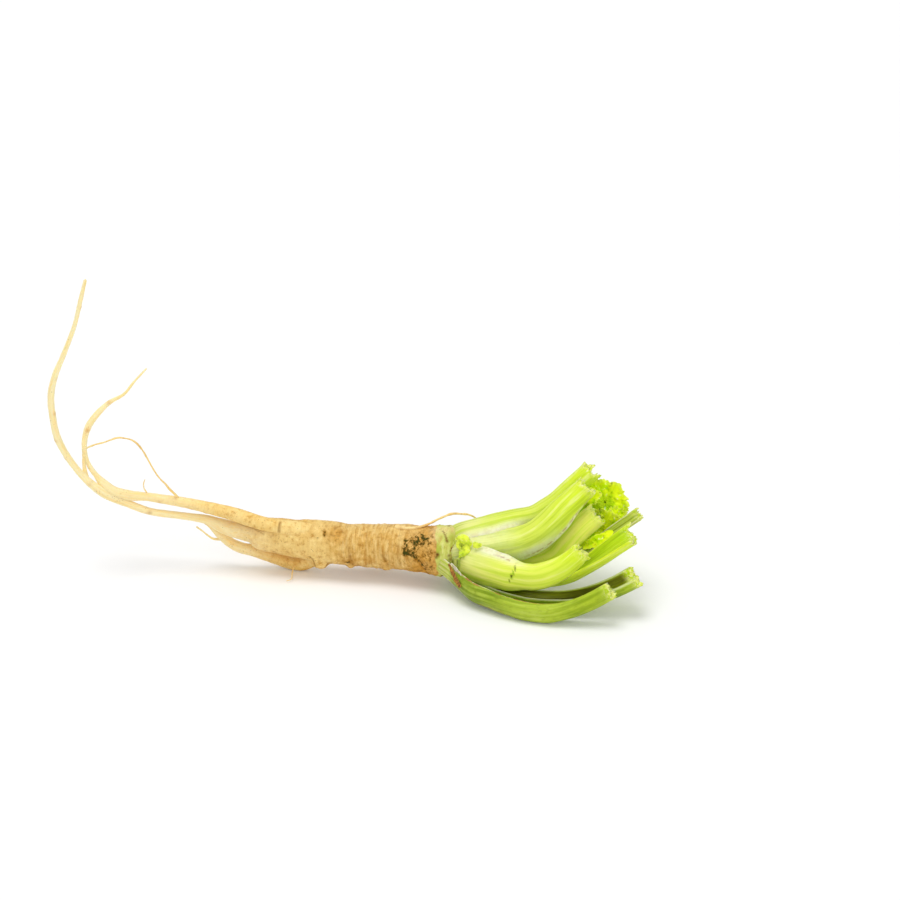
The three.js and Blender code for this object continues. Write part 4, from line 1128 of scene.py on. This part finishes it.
PETIOLE = {
    "way": [(24, -5, 10.4), (31, -4.9, 11.2), (36, -4.6, 12.8), (39.6, -3.6, 15.2), (41.2, -2.2, 18)],
    "facing": (-0.3, -0.8, 0.5), "widths": [(0, 2.4), (0.5, 3.6), (0.8, 4.4), (1, 3.6)],
    "thick": [(0, 1.2), (1, 0.8)], "teeth": 0.16, "ruffle": 0.5, "cup": 0.5,
}
LOWER_LOBE = {
    "way": [(36, -4.8, 12.8), (35.4, -8.6, 12.6), (36.2, -12.4, 14.6), (39, -13.8, 16.9), (42, -13, 18.7)],
    "facing": (-0.2, -0.8, 0.55), "widths": [(0, 1.6), (0.45, 2), (0.7, 3), (0.9, 2.2), (1, 0.9)],
    "thick": [(0, 0.8), (1, 0.5)], "teeth": 0.12, "ruffle": 0.25, "cup": 0.4,
}
LEAF_FANS = [
    {  # the lobe behind the upper front stalk, painted in shade all over
        "base": (33.8, -2, 15.8), "ahead": (0.55, 0, 0.8), "facing": (-0.15, -0.9, 0.4),
        "lobes": [(-50, 6), (-20, 8), (8, 8.8), (30, 7.6), (60, 5)], "teeth": 0.06, "ruffle": 0.6, "cup": 0.6,
        "thick": 0.45, "painted_shade_all": 0.95,
    },
    {  # the hollow blade, spread all round its middle, with painted shade in its hollow
        "base": (40.6, -0.8, 21.5), "ahead": (0, 0.5, 1), "facing": (-0.15, -0.9, 0.4),
        "lobes": [
            (-178, 4), (-150, 5), (-120, 6.6), (-95, 6.6), (-70, 5.8), (-40, 6.4), (-15, 5.4), (10, 6.2),
            (38, 6.8), (62, 6), (90, 4.6), (120, 3.8), (150, 3.6), (178, 4),
        ],
        "teeth": 0.06, "ruffle": 1.3, "cup": 0.9, "thick": 0.45, "hollow": (1, 0.2, 0.5),
    },
    {  # the lobe in front of it
        "base": (40, -4.2, 15.4), "ahead": (0.6, -0.15, 0.7), "facing": (-0.2, -0.85, 0.5),
        "lobes": [(-80, 4.4), (-45, 6.2), (-12, 6.6), (14, 5.6), (38, 5.6), (75, 5.4), (100, 5)],
        "teeth": 0.1, "ruffle": 0.9, "cup": 0.8, "thick": 0.5,
    },
    {  # the fold on the left of the hollow
        "base": (35.6, -2.6, 22.4), "ahead": (0.85, -0.1, 0.5), "facing": (-0.2, -0.85, 0.45),
        "lobes": [(-60, 1.8), (-20, 3.2), (0, 4.6), (30, 4), (70, 3.4), (95, 2.4)], "teeth": 0.1,
        "ruffle": 0.5, "cup": 0.9, "thick": 0.45,
    },
    {  # the lobe at the lower right
        "base": (41.6, -4.4, 18), "ahead": (0.9, -0.1, 0.4), "facing": (-0.25, -0.85, 0.4),
        "lobes": [(-70, 2.4), (-25, 4.2), (8, 5.2), (40, 4), (85, 2.8)], "teeth": 0.14, "ruffle": 0.7,
        "cup": 0.8, "thick": 0.4,
    },
]
BUD_BLADES = [
    {
        "way": [
            (1.6, -11.4, 15.6), (2.6, -12, 16.4), (3.9, -12.3, 16.2), (4.8, -12.2, 14.8), (4.7, -12, 13.6),
        ],
        "facing": (-0.3, -0.9, 0.3), "widths": [(0, 1), (0.4, 1.8), (0.8, 1.7), (1, 1)], "thick": [(0, 0.7)],
        "teeth": 0.12, "ruffle": 0.25, "cup": -0.45,
    },
    {
        "way": [(4.6, -12, 14.7), (4, -12.5, 13.4), (3.1, -12.8, 12.2), (2.4, -12.7, 11.1)],
        "facing": (-0.3, -0.9, 0.2), "widths": [(0, 1.4), (0.35, 2.6), (0.7, 2.1), (1, 0.5)],
        "thick": [(0, 0.8)], "teeth": 0.1, "ruffle": 0.25, "cup": -0.5,
    },
]
# the bud's dark hole: painted shade in its middle
BUD_HOLLOW = {
    "base": (3, -11.3, 14.2), "ahead": (0, 0.1, 1), "facing": (-0.3, -0.9, 0.3),
    "lobes": [(-178, 1.6), (-90, 1.7), (0, 1.2), (90, 1.5), (178, 1.6)], "teeth": 0.05, "ruffle": 0.15,
    "cup": 0.2, "thick": 0.5, "hollow": (1, 0.3, 0.6),
}
SMALL_BUD = {
    "base": (5.9, -13.4, 15), "ahead": (0.95, -0.1, 0), "facing": (-0.1, -0.8, 0.6),
    "lobes": [(-80, 0.8), (-40, 1.1), (0, 2.4), (40, 1.1), (80, 0.8)],
    "teeth": 0.08, "ruffle": 0.15, "cup": -0.3, "thick": 0.7,
}
SHEATHS = [
    {
        "name": "dry_sheath_brown",
        "way": [(-0.3, -13.6, 9.7), (0.7, -15, 8.1), (1.9, -16.9, 6.2), (2.7, -18, 5.1)],
        "facing": (-0.5, -0.8, 0), "widths": [(0, 0.6), (0.5, 1.3), (1, 1)], "thick": [(0, 0.4)],
        "teeth": 0.3, "ruffle": 0.12, "cup": 0.2,
    },
    {
        "name": "dry_sheath_pale",
        "way": [(0.5, -13.8, 10), (1.8, -15.2, 8.7), (2.9, -16.4, 7.2), (3.8, -17.4, 5.9)],
        "facing": (-0.6, -0.7, -0.1), "widths": [(0, 0.5), (0.5, 1.3), (1, 0.6)], "thick": [(0, 0.35)],
        "teeth": 0.25, "ruffle": 0.1, "cup": 0.2,
    },
]


# ---------------------------------------------------------------- the root
root_skin = make_root_material("root skin", "eecc80", "ddae58", "b87e28", "ffeebc", 0.8)
thin_skin = make_root_material("thin root skin", "f8d88e", "ecc26a", "cc9236", "ffeebc", 0.55)
hair_skin = make_root_material("hair root skin", "ffe2a0", "f8ce7c", "dfa852", "fbe4ae", 0.3)
stalk_skin = make_stalk_material()
# the third and fourth colours of each are painted shade for the folds and hollows
leaf_skin = make_leaf_material("young leaf", "e8fc1c", "c6ec04", "8cba00", "6a9a00")
bud_skin = make_leaf_material("crown bud", "ecfc50", "cae43c", "2c4204", "101c02")
brown_sheath = make_sheath_material("brown dry sheath", "c08a2a", "783810", "4c4410")
pale_sheath = make_sheath_material("pale dry sheath", "e9e6d6", "c2b58f", "cfd49a")

# mm between rings, by x, and the points in each ring
TRUNK_GRID = (lambda x: 0.2 if x > -58 else 0.5), 128
SIDE_ROOT_GRID = (lambda x: 0.35), 40
HAIR_GRID = (lambda x: 0.25), 14
HAIR_WANDER = 0.35  # mm
crack = [((-44.6, 30), (-44.9, 120), 0.3, 0.2, 1), ((-52.6, 70), (-52.2, 110), 0.1, 0.05, 0.5)]
make_root("taproot", TAPROOT, root_skin, "root_bark", *TRUNK_GRID, trunk_shape)
side_roots = [
    ("side_root_long", SIDE_ROOT_LONG, side_shape(crack, 1, (-80, -60, 0.8))),
    ("side_root_low", SIDE_ROOT_LOW, side_shape((), 2, (-58, -42, 0.7))),
    ("side_root_back", SIDE_ROOT_BACK, side_shape((), 3, (-50, -36, 0.4))),
]
for name, way, shape in side_roots:
    make_root(name, way, thin_skin, "rootlet", *SIDE_ROOT_GRID, shape)
for seed, (name, way) in enumerate(HAIR_ROOTS.items()):
    make_root(name, wander(way, HAIR_WANDER, seed), hair_skin, "rootlet", *HAIR_GRID, hair_shape(seed))
for seed, spec in enumerate(STALKS):
    make_stalk(spec, stalk_skin, seed + 1)
leaf = [make_blade(PETIOLE, 1), make_blade(LOWER_LOBE, 2)]
leaf += [make_fan(spec, seed) for seed, spec in enumerate(LEAF_FANS)]
build("young_leaf_fine", "young_leaf", "young_leaf", leaf_skin, *merged(leaf))
bud = [make_blade(spec, 10 + seed, 40, 16) for seed, spec in enumerate(BUD_BLADES)]
bud.append(make_fan(BUD_HOLLOW, 12, 16, 48))
build("crown_bud_fine", "crown_bud", "young_leaf", bud_skin, *merged(bud))
small_bud = make_fan(SMALL_BUD, 20, 20, 60)
build("crown_bud_small_fine", "crown_bud_small", "young_leaf", bud_skin, *small_bud)
for seed, (spec, papery) in enumerate(zip(SHEATHS, (brown_sheath, pale_sheath))):
    build(f"{spec['name']}_fine", spec["name"], "dry_sheath", papery, *make_blade(spec, 3 + seed))


# ---------------------------------------------------------------- floor, light and camera
FLOOR_REACH = 4.0  # metres from its middle
FLOOR_GAP = 0.0002  # metres that it lies below the root
FLOOR_LIFT = 0.07  # how much brighter the camera sees it
WORLD_LIGHT = 0.6
AIM_HEIGHT = 36.0  # mm
CAMERA_ELEVATION = 22.0  # degrees
CAMERA_DISTANCE = 0.65  # metres
FOCAL_LENGTH, SENSOR_WIDTH = 100, 36  # mm of the lens
LAMPS = [  # name, the way it comes from, strength, angular size in degrees
    ("soft key", (-0.22, -0.02, 1), 1.32, 34),
    ("front fill", (0.45, -1, 0.48), 0.68, 60),
]


def make_floor():
    """A white floor, which the camera sees a little brighter than it lights the root."""
    mesh = bpy.data.meshes.new("floor")
    x = y = FLOOR_REACH
    mesh.from_pydata([(-x, -y, 0), (x, -y, 0), (x, y, 0), (-x, y, 0)], [], [(0, 1, 2, 3)])
    s = Shader("floor")
    s.colour = (0.9, 0.9, 0.9, 1)
    seen = s.node("LightPath", "Is Camera Ray", {})
    glow = {"Emission Color": (1, 1, 1, 1), "Emission Strength": s.times(seen, FLOOR_LIFT)}
    mesh.materials.append(s.finish(Roughness=0.6, **{"Specular IOR Level": 0.2}, **glow))
    floor = add_object("floor", mesh)
    floor.location.z = -FLOOR_GAP


def make_world():
    """White to the camera, and dimmer as a light."""
    world = bpy.data.worlds.new("studio")
    world.use_nodes = True
    tree = world.node_tree
    back = tree.nodes["Background"]
    back.inputs["Color"].default_value = (1, 1, 1, 1)
    rays = tree.nodes.new("ShaderNodeLightPath")
    strength = tree.nodes.new("ShaderNodeMapRange")
    strength.inputs["To Min"].default_value = WORLD_LIGHT
    strength.inputs["To Max"].default_value = 1.0
    tree.links.new(rays.outputs["Is Camera Ray"], strength.inputs["Value"])
    tree.links.new(strength.outputs["Result"], back.inputs["Strength"])
    bpy.context.scene.world = world


def make_sun(name, direction, strength, degrees):
    """A sun lamp that shines from a direction."""
    lamp = bpy.data.lights.new(name, "SUN")
    lamp.energy = strength
    lamp.angle = radians(degrees)
    add_object(name, lamp).rotation_euler = Vector(direction).to_track_quat("Z", "Y").to_euler()


def make_camera():
    lens = bpy.data.cameras.new("camera")
    lens.lens = FOCAL_LENGTH
    lens.sensor_width = SENSOR_WIDTH
    camera = add_object("camera", lens)
    target = Vector((-TABLE_CENTRE[0], -TABLE_CENTRE[1], AIM_HEIGHT)) * MM
    tilt = radians(CAMERA_ELEVATION)
    camera.location = target + Vector((0, -np.cos(tilt), np.sin(tilt))) * CAMERA_DISTANCE
    camera.rotation_euler = (radians(90 - CAMERA_ELEVATION), 0, 0)
    bpy.context.scene.camera = camera


make_floor()
make_world()
for lamp in LAMPS:
    make_sun(*lamp)
make_camera()
bpy.context.scene.view_settings.view_transform = "Standard"
